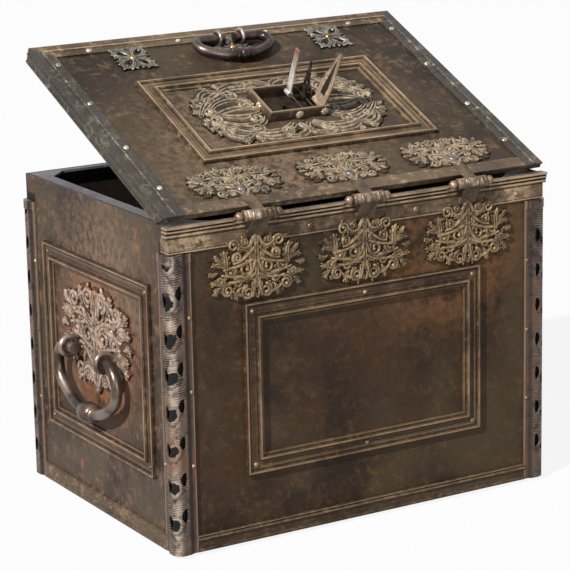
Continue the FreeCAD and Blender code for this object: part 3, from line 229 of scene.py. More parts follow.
def iron(name, dark, middle, light, rust_share=0.5, rust=(104, 66, 40), rough=0.5, metal=0.16,
        grain=0.5, ridge_shading=None, shaded_relief=False, streak=None, rust_spot=None, pale_spots_and_sheen=(), under_trim_shade=None,
        inner=None, lacquer=brown_lacquer, gloss=0.2, calm=1.0, painted_light_lines=None, shaded=None):
    """Browned iron: soft clouds, hammered mottling, rust blooms, fine pits, and painted highlights and
    shade where asked.
    """
    paint = Paint(name)
    clouds = paint.noise(9.0, 5.0, 0.6)
    patches = paint.noise(38.0, 6.0, 0.65)
    mottle = paint.noise(135.0, 5.0, 0.65)
    pits = paint.noise(420.0, 4.0, 0.6)
    specks = paint.noise(1000.0, 2.0, 0.5)
    uneven = mottle - 0.5
    paint.color = paint.mix((clouds * 0.6 + patches * 0.25 + mottle * 0.15).band(0.39, 0.57), dark,
            middle)
    paint.lay((patches * 0.45 + mottle * 0.55).band(0.50, 0.66) * (0.7 * calm), light)
    paint.lay(paint.noise(7.0, 3.0, 0.5, (1.3, 0.8, 1.0)).band(0.48, 0.66) * 0.28, (66, 64, 50))
    rust_clouds = paint.noise(16.0, 6.0, 0.7, (1.0, 1.3, 0.8))
    rust_mask = (rust_clouds * 0.6 + patches * 0.2 + mottle * 0.2).band(0.66 - 0.2 * rust_share,
            0.80 - 0.2 * rust_share)
    if rust_spot:
        centre, reach = rust_spot
        near = (paint.from_spot(centre) + (patches - 0.5) * reach).band(reach * 1.15, reach * 0.55)
        rust_mask = (rust_mask + near * (patches * 0.6 + mottle * 0.4).band(0.34, 0.60) * 0.9).clamp()
    paint.lay(rust_mask * 0.7, rust)
    # Paler spots round given places; on the lid this is a painted sheen.
    for centre, reach in pale_spots_and_sheen:
        near = (paint.from_spot(centre) + (clouds - 0.5) * reach).band(reach * 1.2, reach * 0.3)
        paint.lay(near * mottle.band(0.30, 0.62) * 0.75, light)
    paint.lay(pits.band(0.54, 0.68) * grain, dark)
    paint.lay(specks.band(0.56, 0.70) * (0.7 * grain), light)
    height = (pits * 0.5 + patches * 0.8 + mottle * 0.9) * calm + specks * 0.15
    worn = mottle * 0.45 + patches * 0.2 + rust_mask * 0.2 + (rough - 0.3)
    if streak:
        lines = paint.noise(75.0, 4.0, 0.65, streak)
        paint.lay(lines.band(0.52, 0.66) * 0.35, light)
        paint.lay(lines.band(0.46, 0.36) * 0.5, dark)
        height = height + lines * 0.7
    # Painted shade low on a ridge and a painted highlight along its crown.
    if ridge_shading:
        direction, foot, crown = ridge_shading
        rise = (paint.along(direction) - foot) / (crown - foot)
        paint.lay(rise.band(0.60, 0.25) * 0.55, (34, 25, 18))
        paint.lay((rise + uneven * 0.35).band(0.74, 1.0) * 0.7, light)
        worn = worn - rise.band(0.7, 1.0) * 0.12
    # Painted shade in the hollows of a chased plate and a painted highlight on its crowns, from the
    # shade kept on its points.
    if shaded_relief:
        relief_shade = paint.attribute("shaded_relief")
        paint.lay(relief_shade.band(0.42, 0.10) * 0.85, (27, 19, 13))
        paint.lay((relief_shade + uneven * 0.8).band(0.60, 0.98) * 0.7, light)
        worn = worn - relief_shade.band(0.5, 0.9) * 0.1
    # Painted highlight lines on a moulding's crowns and painted shade lines in its valleys.
    if painted_light_lines:
        measure, valleys, crowns = painted_light_lines
        inset = measure(paint)
        broken = (patches * 0.6 + clouds * 0.4).band(0.38, 0.62, 0.3, 1.0)
        for lines, waver, core, shade, push, strength in ((crowns, 0.0014, 0.35, light, 0.8, broken),
                (valleys, 0.0012, 0.4, (20, 15, 11), -1.2, 1.0)):
            for middle_line, reach, part in lines:
                off = (inset - middle_line).maths("ABSOLUTE") + uneven * waver
                line = off.band(reach, reach * core) * strength
                paint.lay(line * part, shade)
                height = height + line * push
    # Painted shade inside the keyhole box.
    if shaded:
        paint.lay(shaded(paint).band(-0.001, 0.001) * 0.8, (12, 10, 9))
    paint.lay(1.0, lacquer, "MULTIPLY")
    # Painted shade on the walls under the corner trims, seen through their piercings.
    if under_trim_shade:
        direction, low, high, top = under_trim_shade
        place = paint.along(direction)
        trim_shade = place.band(low + 0.0015, low - 0.0015) + place.band(high - 0.0015, high + 0.0015)
        trim_shade = trim_shade * paint.along((0, 0, 1)).band(top + 0.002, top - 0.002)
        paint.lay(trim_shade.clamp(), (9, 7, 6))
    # Painted shade on the inner face of a wall, for the dark inside of the chest.
    if inner:
        direction, face = inner
        paint.lay(paint.along(direction).band(face - 0.0002, face - 0.0006), (22, 17, 14))
    return paint.finish(worn, metal, height, 0.0002 if shaded_relief else 0.0003, gloss)


def dress(material, *names):
    for name in names:
        mesh = nodes[name].data
        mesh.materials.clear()
        mesh.materials.append(material)


half_width, hinge_face, opening_face, body_y = 0.22, -0.1543, 0.1637, 0.0047
trim_leg, trim_top = 0.021, 0.317
# Walls: painted shade on their inner faces and on the strips under the corner trims.
for name, out, face, spot in (("hinge", (0, -1, 0), -hinge_face, (0.10, hinge_face, 0.285)),
        ("opening", (0, 1, 0), opening_face, (-0.10, opening_face, 0.27))):
    dress(iron(name + "_wall_iron", (25, 18, 12), (47, 34, 23), (78, 57, 38), 0.42, (98, 70, 46),
            rust_spot=(spot, 0.12), inner=(out, face), calm=0.7,
            under_trim_shade=((1, 0, 0), trim_leg - half_width, half_width - trim_leg, trim_top)),
            name + "_wall")
for name, side in (("left", -1), ("right", 1)):
    dress(iron(name + "_wall_iron", (24, 19, 18), (56, 45, 39), (100, 83, 72), 0.62, (128, 82, 53),
            calm=0.8, rust_spot=((side * half_width, body_y, 0.185), 0.095),
            pale_spots_and_sheen=[((side * half_width, -0.02, 0.25), 0.11)], inner=((side, 0, 0), half_width),
            under_trim_shade=((0, 1, 0), hinge_face + trim_leg, opening_face - trim_leg, trim_top)),
            name + "_wall")
dress(iron("floor_plate", (20, 16, 13), (32, 25, 20), (48, 37, 29), 0.6), "bottom_plate")
dress(iron("foot_iron", (20, 18, 18), (30, 28, 27), (54, 50, 48), 0.2), "feet")
dress(iron("rim_iron", (56, 53, 56), (86, 82, 86), (120, 116, 120), 0.2, lacquer=(1.0, 0.98, 1.0, 1.0)),
        "rim_flange_left", "rim_flange_right", "rim_flange_opening")

# Corner trims: iron sheet folded round each corner as a half column, hatched with a graver, pierced
# along its crest and closed by a collar. The crest carries a painted highlight, the valleys beside it
# painted shade, and the piercings painted black shade. The plain edge strips beside the column are
# riveted flat on the walls.
def trim_paint(name, corner, across_x, across_y):
    """The column's own measure, across, runs from -1 to 1 over both of its legs."""
    paint = Paint(name)
    clouds = paint.noise(14.0, 5.0, 0.6)
    patches = paint.noise(90.0, 5.0, 0.65)
    fine = paint.noise(330.0, 4.0, 0.6)
    per_leg, pierced_pitch, pierced_first, pierced_half = 48, 0.0375, 0.036, 0.0064
    corner_level = per_leg * (across_x * corner[0] + across_y * corner[1])
    across = paint.along((across_x * per_leg, across_y * per_leg, 0)) - corner_level
    away = across.maths("ABSOLUTE")
    height_up = paint.along((0, 0, 1))
    hatch = (paint.along((0, 0, 2600)) + across * 7.0 + patches * 5.0).maths("SINE")
    pitches = ((height_up - pierced_first) / pierced_pitch + 10.5).maths("FRACT")
    off_level = (pitches - 0.5) * (pierced_pitch / pierced_half)
    off_across = (across - 0.15) / 0.40
    squares = off_level * off_level + off_across * off_across + off_level * off_across * 0.5
    reach = squares.maths("POWER", 0.5)
    # Painted black shade of the piercings, with ragged edges.
    hole_shade = (reach + (patches - 0.5) * 2.0).band(1.02, 0.90)
    hole_shade = hole_shade * height_up.band(0.020, 0.024) * height_up.band(0.300, 0.296)
    leaf = (reach + (patches - 0.5) * 2.4).band(1.9, 1.5)
    outline = leaf * (reach + (patches - 0.5) * 2.4).band(1.35, 1.75) * 4.0
    # Painted shade in the valley where the column meets its flat strip.
    valley_shade = away.band(0.74, 0.82) * away.band(0.92, 0.85)
    hatched = away.band(0.80, 0.68) * paint.noise(48.0, 3.0, 0.5).band(0.40, 0.58, 0.15, 1.0)
    cuts = hatch + (fine - 0.5) * 2.6
    paint.color = paint.mix((clouds * 0.4 + patches * 0.6).band(0.38, 0.56), (36, 27, 22), (80, 65, 55))
    # Painted highlight along the middle of the column, and painted shade darkening towards its valleys.
    paint.lay(away.band(0.5, 0.05) * patches.band(0.35, 0.6) * 0.55, (168, 153, 140))
    paint.lay(away.band(0.84, 0.92) * 0.7, (70, 53, 41))
    paint.lay(away.band(1.02, 1.08) * 0.6, (128, 110, 94))
    paint.lay(cuts.band(0.2, 1.0) * hatched * 0.45, (150, 134, 120))
    paint.lay(cuts.band(-0.2, -1.0) * hatched * 0.4, (36, 27, 22))
    paint.lay(clouds.band(0.52, 0.64) * 0.6, (92, 62, 44))
    paint.lay(outline.clamp() * 0.45, (30, 22, 17))
    paint.lay(valley_shade * 0.8, (22, 16, 12))
    paint.lay(hole_shade, (3, 3, 3))
    height = hatch * hatched * 0.12 + patches * 0.9 + fine * 0.35 + leaf * 0.8 - hole_shade * 2.5
    return paint.finish(patches * 0.5 + 0.12 + hole_shade * 0.5, 0.28, height, 0.0006, 0.3)


for name, x, y in (("hinge_left", -1, -1), ("hinge_right", 1, -1), ("opening_left", -1, 1),
        ("opening_right", 1, 1)):
    corner = (x * half_width, hinge_face if y < 0 else opening_face)
    dress(trim_paint("trim_" + name, corner, x, -y), "corner_trim_" + name)

# Bands and panel frames: drawn iron mouldings, mitred at the corners and riveted through their
# valleys. Their ridges carry painted highlights in a warm tan and their valleys painted shade, near
# black.
def frame_inset(u_way, v_way, name):
    """A measure of how far a place on a moulded frame is from the frame's outer edge."""
    ways = [Vector(way) for way in (u_way, v_way)]
    spans = [[vertex.co.dot(way) for vertex in nodes[name].data.vertices] for way in ways]

    def measure(paint):
        nearest = None
        for way, span in zip(ways, spans):
            place = paint.along(tuple(way))
            for gap in (place - min(span), (place - max(span)) * -1.0):
                nearest = nearest.maths("MINIMUM", gap) if nearest else gap
        return nearest

    return measure


# Painted lines on a moulding, first the shade lines in its valleys, then the highlight lines on its
# crowns: how far in each lies, its half width in metres, and its strength.
frame_light_lines = ([(0.0003, 0.0005, 0.7), (0.0043, 0.0008, 0.75), (0.0098, 0.0005, 0.5),
        (0.0132, 0.0007, 0.8), (0.0181, 0.0007, 0.7)], [(0.0018, 0.0011, 0.75),
        (0.0064, 0.0006, 0.35), (0.0157, 0.0012, 0.8), (0.0197, 0.0006, 0.4)])
band_light_lines = ([(0.3108, 0.0006, 0.6), (0.3243, 0.0009, 0.9), (0.3290, 0.0008, 0.85),
        (0.3329, 0.0006, 0.85)], [(0.3096, 0.0009, 0.7), (0.3268, 0.0014, 0.7), (0.3311, 0.0012, 0.8),
        (0.3349, 0.0013, 0.8)])
for name in ("hinge", "opening", "left", "right"):
    on_end = name in ("left", "right")
    inset = frame_inset((0, 1, 0) if on_end else (1, 0, 0), (0, 0, 1), "panel_frame_" + name)
    dress(iron("frame_" + name, (34, 25, 18), (62, 48, 36), (132, 112, 90), 0.45, rough=0.4, metal=0.1,
            grain=0.3, calm=0.3, lacquer=(1.12, 0.99, 0.94, 1.0) if on_end else brown_lacquer,
            painted_light_lines=(inset, *frame_light_lines)), "panel_frame_" + name)
dress(iron("top_band_iron", (40, 30, 24), (74, 60, 48), (160, 142, 122), 0.45, rough=0.34, metal=0.12,
        grain=0.25, calm=0.35, streak=(0.5, 36, 36), pale_spots_and_sheen=[((-0.195, -0.156, 0.316), 0.03),
        ((0.185, -0.156, 0.316), 0.03)], painted_light_lines=(lambda paint: paint.along((0, 0, 1)), *band_light_lines)),
        "top_band")
band_rise = 0.004
# The ridge shading paints shade low on the foot bands and a highlight along their crown.
dress(iron("foot_band_iron", (34, 26, 19), (60, 48, 37), (128, 112, 94), 0.45, rough=0.42, metal=0.25,
        grain=0.3, calm=0.4, ridge_shading=((0, -1, 0), -hinge_face, band_rise - hinge_face),
        streak=(1.5, 30, 30)), "foot_band_hinge")
dress(iron("foot_band_back", (42, 31, 22), (76, 60, 45), (152, 132, 108), 0.45, rough=0.42, metal=0.25,
        grain=0.3, ridge_shading=((0, 1, 0), opening_face, opening_face + band_rise), streak=(1.5, 30, 30)),
        "foot_band_opening")
dress(iron("foot_band_end", (38, 30, 24), (68, 56, 46), (126, 110, 95), 0.5, rough=0.42, metal=0.25,
        grain=0.3, streak=(30, 1.5, 30)), "foot_bands_ends")

# Lower hinge leaves: a rolled strap with two knuckles, running out into a pierced and chased plate
# of scrolls and acanthus leaves. The plate is riveted flat on the wall under the band. All chased
# plates are drawn in millimetres as strokes, each a bar with a rounded back.
def stroke(points, radii, vein=0.0, lift=1.0):
    return (np.array(points, float), np.array(radii, float), vein, lift)


def pair(angle):
    return np.array((math.cos(angle), math.sin(angle)))


def leaf_stroke(start, end, bow, width, vein=0.35, lift=1.0):
    start, end = np.array(start, float), np.array(end, float)
    way = end - start
    side = np.array((-way[1], way[0])) / np.hypot(*way)
    share = np.linspace(0, 1, 13)[:, None]
    swell = 1 - (2 * share - 1) ** 2
    return stroke(start + way * share + side * bow * swell, 0.5 * width * swell[:, 0] ** 0.8 + 0.22,
            vein, lift)


def leaf_family(start, end, bow, width, rng, lobes=3):
    """One acanthus leaf: a bowed stem with pointed lobes that curl forward on both sides."""
    stem = leaf_stroke(start, end, bow, width)
    points = stem[0]
    family = [stem]
    length = np.hypot(*(points[-1] - points[0]))
    room = min(1.0, length / (3.2 * width) + 0.35)
    for index in range(lobes):
        at = 0.22 + 0.62 * (index + 0.5) / lobes
        place = int(round(at * 12))
        ahead = points[min(12, place + 1)] - points[max(0, place - 1)]
        ahead = ahead / np.hypot(*ahead)
        for side in (-1, 1):
            cosine, sine = pair(side * math.radians(rng.uniform(48, 68)))
            way = np.array((ahead[0] * cosine - ahead[1] * sine, ahead[0] * sine + ahead[1] * cosine))
            reach = width * rng.uniform(0.75, 1.05) * (1.1 - 0.4 * at) * room
            tip = points[place] + way * reach + ahead * reach * 0.35
            family.append(leaf_stroke(points[place] - ahead * 0.3, tip, side * reach * 0.16,
                    width * 0.42, 0.25, 0.9))
    return family


def spiral(u, v, radius, bar, start, turns):
    """A scroll: a bar that winds inward to a bud. It starts at an angle in degrees."""
    count = int(14 * abs(turns)) + 6
    angles = math.radians(start) + np.linspace(0, 2 * math.pi * turns, count)
    shrink = radius * np.linspace(1.0, 0.30, count)
    curl = stroke(np.stack((u + shrink * np.cos(angles), v + shrink * np.sin(angles)), 1),
            np.linspace(bar, bar * 0.62, count), 0.0, 0.95)
    return [curl, stroke([curl[0][-1]] * 2, [bar * 1.1] * 2, 0.0, 1.1)]


def bent_stem(start, bend, end, bar):
    share = np.linspace(0, 1, 15)[:, None]
    points = start * (1 - share) ** 2 + 2 * bend * share * (1 - share) + end * share ** 2
    return stroke(points, bar * (1.05 - 0.4 * share[:, 0]))


# One half of a scroll plate, in hundredths of its half width, its height or the mean of both.
# Scrolls: place, radius, start angle, turns. Spear leaves: root, tip, bow, width. Stems: start,
# bend, end.
scroll_table = [(25, 90, 6.2, 200, -1.2), (46, 87, 10.8, 215, -1.35), (23, 50, 12.5, 100, 1.3),
        (19, 12, 11.2, 80, -1.5), (60, 20, 11.2, 110, -1.5), (54, 49, 10, 170, 1.25),
        (39, 68, 8.2, 330, 1.2), (40, 30, 8.8, 60, 1.2), (74, 36, 8, 200, 1.1)]
spear_table = [(64, 46, 68, 83, 3, 10.5), (62, 52, 93, 60, 5, 8), (60, 42, 98, 35, -5, 8),
        (34, 22, 42, 2, 3, 7.5), (8, 92, 12, 60, 3, 7), (6, 64, 34, 80, 6, 7),
        (4, 34, 36, 42, -5, 7), (74, 26, 86, 14, 3, 7), (10, 28, 0, 2, 2, 6),
        (80, 50, 99, 50, -3, 6), (66, 62, 86, 78, -3, 6)]
stem_table = [(5, 96, 18, 72, 36, 88), (6, 80, 30, 60, 46, 60), (3, 60, 10, 36, 30, 36),
        (4, 40, 30, 28, 56, 32), (10, 62, 34, 54, 66, 52), (4, 30, 6, 16, 10, 6),
        (30, 38, 50, 40, 70, 44), (30, 10, 42, 10, 50, 18)]


def scroll_strokes(half, low, high, seed, bar, turn_way=1):
    """Strokes of one scroll plate, the same on both sides of its middle line. A turn of -1 hangs it."""
    rng = np.random.default_rng(seed)
    wide, tall = half / 100, (high - low) / 100
    size = math.sqrt(wide * tall)
    bar *= size

    def spot(u, v):
        return np.array((u * wide, low + (v if turn_way > 0 else 100 - v) * tall))

    right = []
    for u, v, radius, start, turns in scroll_table:
        middle = spot(u, v)
        right += spiral(*middle, radius * size, bar, start * turn_way, turns * turn_way)
        for _ in range(2):
            way = pair(rng.uniform(0, 2 * math.pi))
            side = np.array((-way[1], way[0]))
            root = middle + way * radius * size
            right.append(leaf_stroke(root, root + (way * 0.55 + side * 0.6) * 8.5 * size, size,
                    4.5 * size, 0.2, 0.9))
    for u0, v0, u1, v1, bow, width in spear_table:
        right += leaf_family(spot(u0, v0), spot(u1, v1), bow * size * turn_way, width * size, rng)
    for u0, v0, u1, v1, u2, v2 in stem_table:
        right.append(bent_stem(spot(u0, v0), spot(u1, v1), spot(u2, v2), bar * 1.15))
    middle = stroke([spot(0, v) for v in (100, 80, 62, 40, 20)], [bar * part
            for part in (2.0, 1.5, 2.0, 1.4, 0.8)], 0.3)
    return right + moved(right, (-1, 1), (0, 0)) + [middle]


def moved(strokes, signs, offset):
    return [(points * np.array(signs) + np.array(offset), *rest) for points, *rest in strokes]


def relief_mesh(strokes, step, edge, crown, holes=(), cut_box=None):
    """A chased plate: each stroke is a rounded ridge, and the plate ends where the strokes end.

    It is found on a square grid and cut where the strokes end. The points come back as rows of
    two places, height and shade, with the triangles."""
    lows = np.min([points.min(0) - radii.max() for points, radii, _, _ in strokes], 0) - step
    highs = np.max([points.max(0) + radii.max() for points, radii, _, _ in strokes], 0) + step
    us, vs = (np.arange(low, high + step, step) for low, high in zip(lows, highs))
    inside = np.full((len(us), len(vs)), -1.0)
    rise = np.zeros(inside.shape)
    for points, radii, vein, lift in strokes:
        reach = radii.max() + step
        i0, j0 = ((points.min(0) - reach - lows) / step).astype(int).clip(0)
        i1, j1 = ((points.max(0) + reach - lows) / step).astype(int) + 2
        grid_u, grid_v = np.meshgrid(us[i0:i1], vs[j0:j1], indexing="ij")
        best = np.full(grid_u.shape, -1.0)
        bump = np.zeros(grid_u.shape)
        for a, b, ra, rb in zip(points[:-1], points[1:], radii[:-1], radii[1:]):
            way = b - a
            run = max(float(way @ way), 1e-9)
            share = (((grid_u - a[0]) * way[0] + (grid_v - a[1]) * way[1]) / run).clip(0, 1)
            off = np.hypot(grid_u - a[0] - share * way[0], grid_v - a[1] - share * way[1])
            radius = ra + (rb - ra) * share
            across = (off / radius).clip(0, 1)
            back = np.sqrt(1 - across ** 2) * min(1.0, 0.55 + 0.18 * radii.max())
            nearer = radius - off > best
            bump = np.where(nearer, (back - vein * np.exp(-(across / 0.24) ** 2)) * lift, bump)
            best = np.where(nearer, radius - off, best)
        window = (slice(i0, i1), slice(j0, j1))
        rise[window] = np.where((best > 0) & (bump > rise[window]), bump, rise[window])
        inside[window] = np.maximum(inside[window], best)
    grid_u, grid_v = np.meshgrid(us, vs, indexing="ij")
    for u, v, radius in holes:
        inside = np.minimum(inside, np.hypot(grid_u - u, grid_v - v) - radius)
    if cut_box:
        u, v, half_u, half_v = cut_box
        inside = np.minimum(inside, np.maximum(abs(grid_u - u) - half_u, abs(grid_v - v) - half_v))
    soft = rise.copy()
    for _ in range(3):
        soft[1:-1, 1:-1] = (soft[1:-1, 1:-1] + soft[:-2, 1:-1] + soft[2:, 1:-1] + soft[1:-1, :-2]
                + soft[1:-1, 2:]) / 5
    shade = (0.18 + 0.62 * rise + 1.6 * (rise - soft)).clip(0, 1)
    points = np.stack([rows.ravel() for rows in (grid_u, grid_v, edge + crown * rise, shade)], 1)
    index = np.arange(inside.size).reshape(inside.shape)
    a, b, c, d = index[:-1, :-1], index[1:, :-1], index[1:, 1:], index[:-1, 1:]
    triangles = np.concatenate([np.stack(corners, -1).reshape(-1, 3) for corners in ((a, b, c),
            (a, c, d))])
    depth = inside.ravel()
    number_in = (depth[triangles] > 0).sum(1)
    faces, cut_edges, cut_places = [triangles[number_in == 3]], [], []
    next_point = len(points)
    for wanted in (1, 2):
        some = triangles[number_in == wanted]
        first = ((depth[some] > 0) == (wanted == 1)).argmax(1)
        lone, q, r = (some[np.arange(len(some)), (first + k) % 3] for k in range(3))
        cuts = []
        for other in (q, r):
            inner, outer = (lone, other) if wanted == 1 else (other, lone)
            share = (depth[inner] / (depth[inner] - depth[outer]))[:, None]
            places = points[inner] * (1 - share) + points[outer] * share
            places[:, 2:] = edge, 0.1
            cut_places.append(places)
            cut_edges.append(np.sort(np.stack((lone, other), 1), 1))
            cuts.append(next_point + np.arange(len(lone)))
            next_point += len(lone)
        corners = [(lone, *cuts)] if wanted == 1 else [(cuts[0], q, r), (cuts[0], r, cuts[1])]
        faces += [np.stack(three, 1) for three in corners]
    _, first_of, same_as = np.unique(np.concatenate(cut_edges), axis=0, return_index=True,
            return_inverse=True)
    merged = np.concatenate((np.arange(len(points)), len(points) + same_as.ravel()))
    points = np.concatenate((points, np.concatenate(cut_places)[first_of]))
    used, top = np.unique(merged[np.concatenate(faces)], return_inverse=True)
    top = top.reshape(-1, 3)
    upper = points[used]
    count = len(upper)
    lower = upper.copy()
    lower[:, 2:] = 0
    edges = np.concatenate((top[:, [0, 1]], top[:, [1, 2]], top[:, [2, 0]]))
    on_rim = ~np.isin(edges @ np.array((count, 1)), edges @ np.array((1, count)))
    one, other = edges[on_rim].T
    sides = [np.stack(three, 1) for three in ((other, one, one + count),
            (other, one + count, other + count))]
    return np.concatenate((upper, lower)), np.concatenate((top, top[:, ::-1] + count, *sides))


def show(name, mesh, material, body, sharp=None):
    """Show a mesh as one piece that moves with a body. Edges sharper than an angle stay sharp."""
    if sharp:
        mesh.polygons.foreach_set("use_smooth", np.ones(len(mesh.polygons), bool))
        mesh.set_sharp_from_angle(angle=math.radians(sharp))
    if material:
        mesh.materials.append(material)
    piece = bpy.data.objects.new(name, mesh)
    scene.collection.objects.link(piece)
    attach(piece, body)
    return piece


def show_relief(name, shaded_relief, material, seat, body):
    rows, faces = shaded_relief
    mesh = bpy.data.meshes.new(name)
    mesh.from_pydata((rows[:, :3] * 0.001).tolist(), [], faces.tolist())
    mesh.transform(seat)
    layer = mesh.attributes.new("shaded_relief", "FLOAT", "POINT")
    layer.data.foreach_set("value", rows[:, 3].astype(np.float32))
    show(name, mesh, material, body, 55)


def seat_on(corner, u_way, v_way):
    u_way, v_way = Vector(u_way), Vector(v_way)
    turn = Matrix((u_way, v_way, u_way.cross(v_way))).transposed().to_4x4()
    return Matrix.Translation(Vector(corner)) @ turn


def ground_paint(name, direction, low, high, edge_tone, gap_shade_tone):
    """Strap iron, with the chased ground of the plate painted dark between two levels as shade in the
    gaps between the strokes.
    """
    paint = Paint(name)
    soft = paint.noise(70.0, 5.0, 0.6)
    fine = paint.noise(480.0, 3.0, 0.6)
    place = paint.along(direction)
    # Painted shade on the ground seen between the chased strokes.
    gap_shade = place.band(low - 0.001, low + 0.001) * place.band(high + 0.001, high - 0.001)
    paint.color = paint.mix(soft.band(0.38, 0.62), (52, 41, 31), (86, 70, 54))
    paint.lay(fine.band(0.56, 0.70) * 0.5, edge_tone)
    paint.lay(gap_shade * 0.9, gap_shade_tone)
    return paint.finish(soft * 0.3 + 0.28 + gap_shade * 0.3, 0.06, soft * 0.6 + fine * 0.4, 0.0003, 0.15)


sides = ("left", "middle", "right")
hinge_pitch = 0.1255
hinge_iron = iron("hinge_iron", (34, 26, 18), (68, 54, 39), (144, 126, 100), 0.3, rough=0.36,
        metal=0.02, shaded_relief=True, calm=0.6)
lower_ground = ground_paint("lower_strap_iron", (0, 0, 1), 0.2, 0.3105, (122, 104, 82), (44, 32, 22))
for number, side in enumerate(sides):
    show_relief("lower_foliage_" + side, relief_mesh(scroll_strokes(55.0, 252, 317, 11 + number, 3.6),
            0.5, 1.75, 2.2), hinge_iron, seat_on(((number - 1) * hinge_pitch, hinge_face, 0), (1, 0, 0),
            (0, 0, 1)), "chest")
    dress(lower_ground, "lower_hinge_" + side)

# Hinge knuckles: two on each lower leaf and one on each upper leaf, turned with rings at their ends,
# and the hammered balls that close each pin. The lid's movement keeps them polished.
def turned_mesh(profile, centre, turns=40):
    """A closed shape turned round a line along x, from pairs of place and radius in millimetres."""
    angles = np.linspace(0, 2 * math.pi, turns, endpoint=False)
    points, faces = [], []
    for place, radius in profile:
        points += [(centre[0] + place * 0.001, centre[1] + radius * 0.001 * math.cos(a),
                centre[2] + radius * 0.001 * math.sin(a)) for a in angles]
    for start in range(0, (len(profile) - 1) * turns, turns):
        for k in range(turns):
            a, b = start + k, start + (k + 1) % turns
            faces.append((a, b, b + turns, a + turns))
    last = len(points)
    return points, faces + [tuple(range(turns - 1, -1, -1)), tuple(range(last - turns, last))]


def closed_mesh(name, points, faces):
    """A mesh whose faces all look outward."""
    mesh = bpy.data.meshes.new(name)
    mesh.from_pydata(points, [], faces)
    shape = bmesh.new()
    shape.from_mesh(mesh)
    bmesh.ops.recalc_face_normals(shape, faces=shape.faces)
    shape.to_mesh(mesh)
    shape.free()
    return mesh


def show_turned(name, profiles, material, body):
    points, faces = [], []
    for profile, centre in profiles:
        more_points, more_faces = turned_mesh(profile, centre)
        faces += [tuple(index + len(points) for index in face) for face in more_faces]
        points += more_points
    show(name, closed_mesh(name, points, faces), material, body, 45)


hinge_y, hinge_z = -0.1633, 0.3382
knuckle_iron = iron("knuckle_iron", (66, 54, 47), (112, 98, 88), (186, 176, 166), 0.15, rough=0.34,
        metal=0.7)
pin_iron = iron("pin_iron", (78, 64, 56), (126, 108, 97), (182, 166, 154), 0.15, rough=0.32, metal=0.6)
end_shape = [(6.9, 5.2), (7.2, 5.7), (8.6, 5.7), (9.0, 5.25), (9.5, 5.25), (9.8, 5.6), (13.8, 5.5),
        (14.1, 5.2), (14.6, 5.2), (15.0, 5.75), (17.2, 5.75), (17.7, 5.3)]
ball_shape = [(17.7 + 4.4 * (1 - math.cos(a)), max(4.5 * math.sin(a), 0.05))
        for a in np.linspace(math.pi * 0.22, math.pi, 14)]
middle_shape = [(-6.4, 5.1), (-6.1, 5.45), (-4.6, 5.45), (-4.2, 5.15), (-3.7, 5.15), (-3.4, 5.4),
        (3.4, 5.4), (3.7, 5.15), (4.2, 5.15), (4.6, 5.45), (6.1, 5.45), (6.4, 5.1)]
hinge_centres = [((number - 1) * hinge_pitch, hinge_y, hinge_z) for number in range(3)]
on_both_ends = [[([(way * place, radius) for place, radius in profile], centre)
        for centre in hinge_centres for way in (-1, 1)] for profile in (end_shape, ball_shape)]
show_turned("knuckle_sleeves_chest", on_both_ends[0], knuckle_iron, "chest")
show_turned("knuckle_sleeves_lid", [(middle_shape, centre) for centre in hinge_centres], knuckle_iron,
        "lid")
show_turned("hinge_balls", on_both_ends[1], pin_iron, "chest")
dress(pin_iron, "hinge_pins")

# Lid plate: one flat sheet of hammered iron, hung on the three hinges and cut only for the keyhole.
# It is browned like the walls, with a painted sheen left of the middle near the hinges and painted
# shade inside the keyhole box.
tilt = math.radians(23.5)
lid_up = Vector((0, -math.sin(tilt), math.cos(tilt)))
lid_way = Vector((0, math.cos(tilt), math.sin(tilt)))
plate_edge, plate_top = hinge_face + 0.002, 0.340


def lid_spot(x, run, lift):
    """A place on the lid: along the hinges, out from the lid's hinge edge, and up from the plate."""
    out = lid_way * (run + plate_edge - hinge_y)
    return Vector((x, hinge_y, hinge_z)) + out + lid_up * (lift + plate_top - hinge_z)


lid_face = tuple(lid_up)
plate_level = lid_spot(0, 0, 0).dot(lid_up)
# The pale spot is a painted sheen, and the keyhole box's inside gets painted shade.
dress(iron("lid_iron", (22, 17, 14), (47, 38, 31), (104, 90, 76), 0.36, rough=0.55, metal=0.0, calm=0.7,
        gloss=0.15, pale_spots_and_sheen=[(tuple(lid_spot(-0.06, 0.08, 0)), 0.17)],
        shaded=frame_inset((1, 0, 0), tuple(lid_way), "keyhole_box")), "lid_plate")

# Border of the lid: folded strips with a raised bead, and a skirt with long ridges that hangs outside
# the walls. Worn to a blue-grey, with pale rivets along it. The moulded frame is like the walls' own.
# The ridge shading paints shade at the foot of the beads and a highlight on their crowns.
dress(iron("border_iron", (28, 28, 29), (55, 55, 55), (152, 142, 126), 0.3, rough=0.36, metal=0.12,
        grain=0.3, lacquer=(1.03, 0.99, 0.93, 1.0), streak=(40, 1.5, 40),
        ridge_shading=(lid_face, plate_level + 0.0008, plate_level + 0.0034)), "lid_border_left",
        "lid_border_right")
dress(iron("border_cross", (48, 38, 30), (86, 72, 59), (160, 143, 122), 0.42, rough=0.38, metal=0.1,
        grain=0.3, streak=(1.5, 40, 40), ridge_shading=(lid_face, plate_level + 0.0004, plate_level + 0.003)),
        "lid_border_opening", "lid_border_hinge")
lid_inset = frame_inset((1, 0, 0), tuple(lid_way), "panel_frame_lid")
dress(iron("lid_frame_iron", (48, 39, 30), (88, 73, 58), (158, 141, 118), 0.42, rough=0.46, metal=0.08,
        grain=0.3, calm=0.4, painted_light_lines=(lid_inset, *frame_light_lines)), "panel_frame_lid")

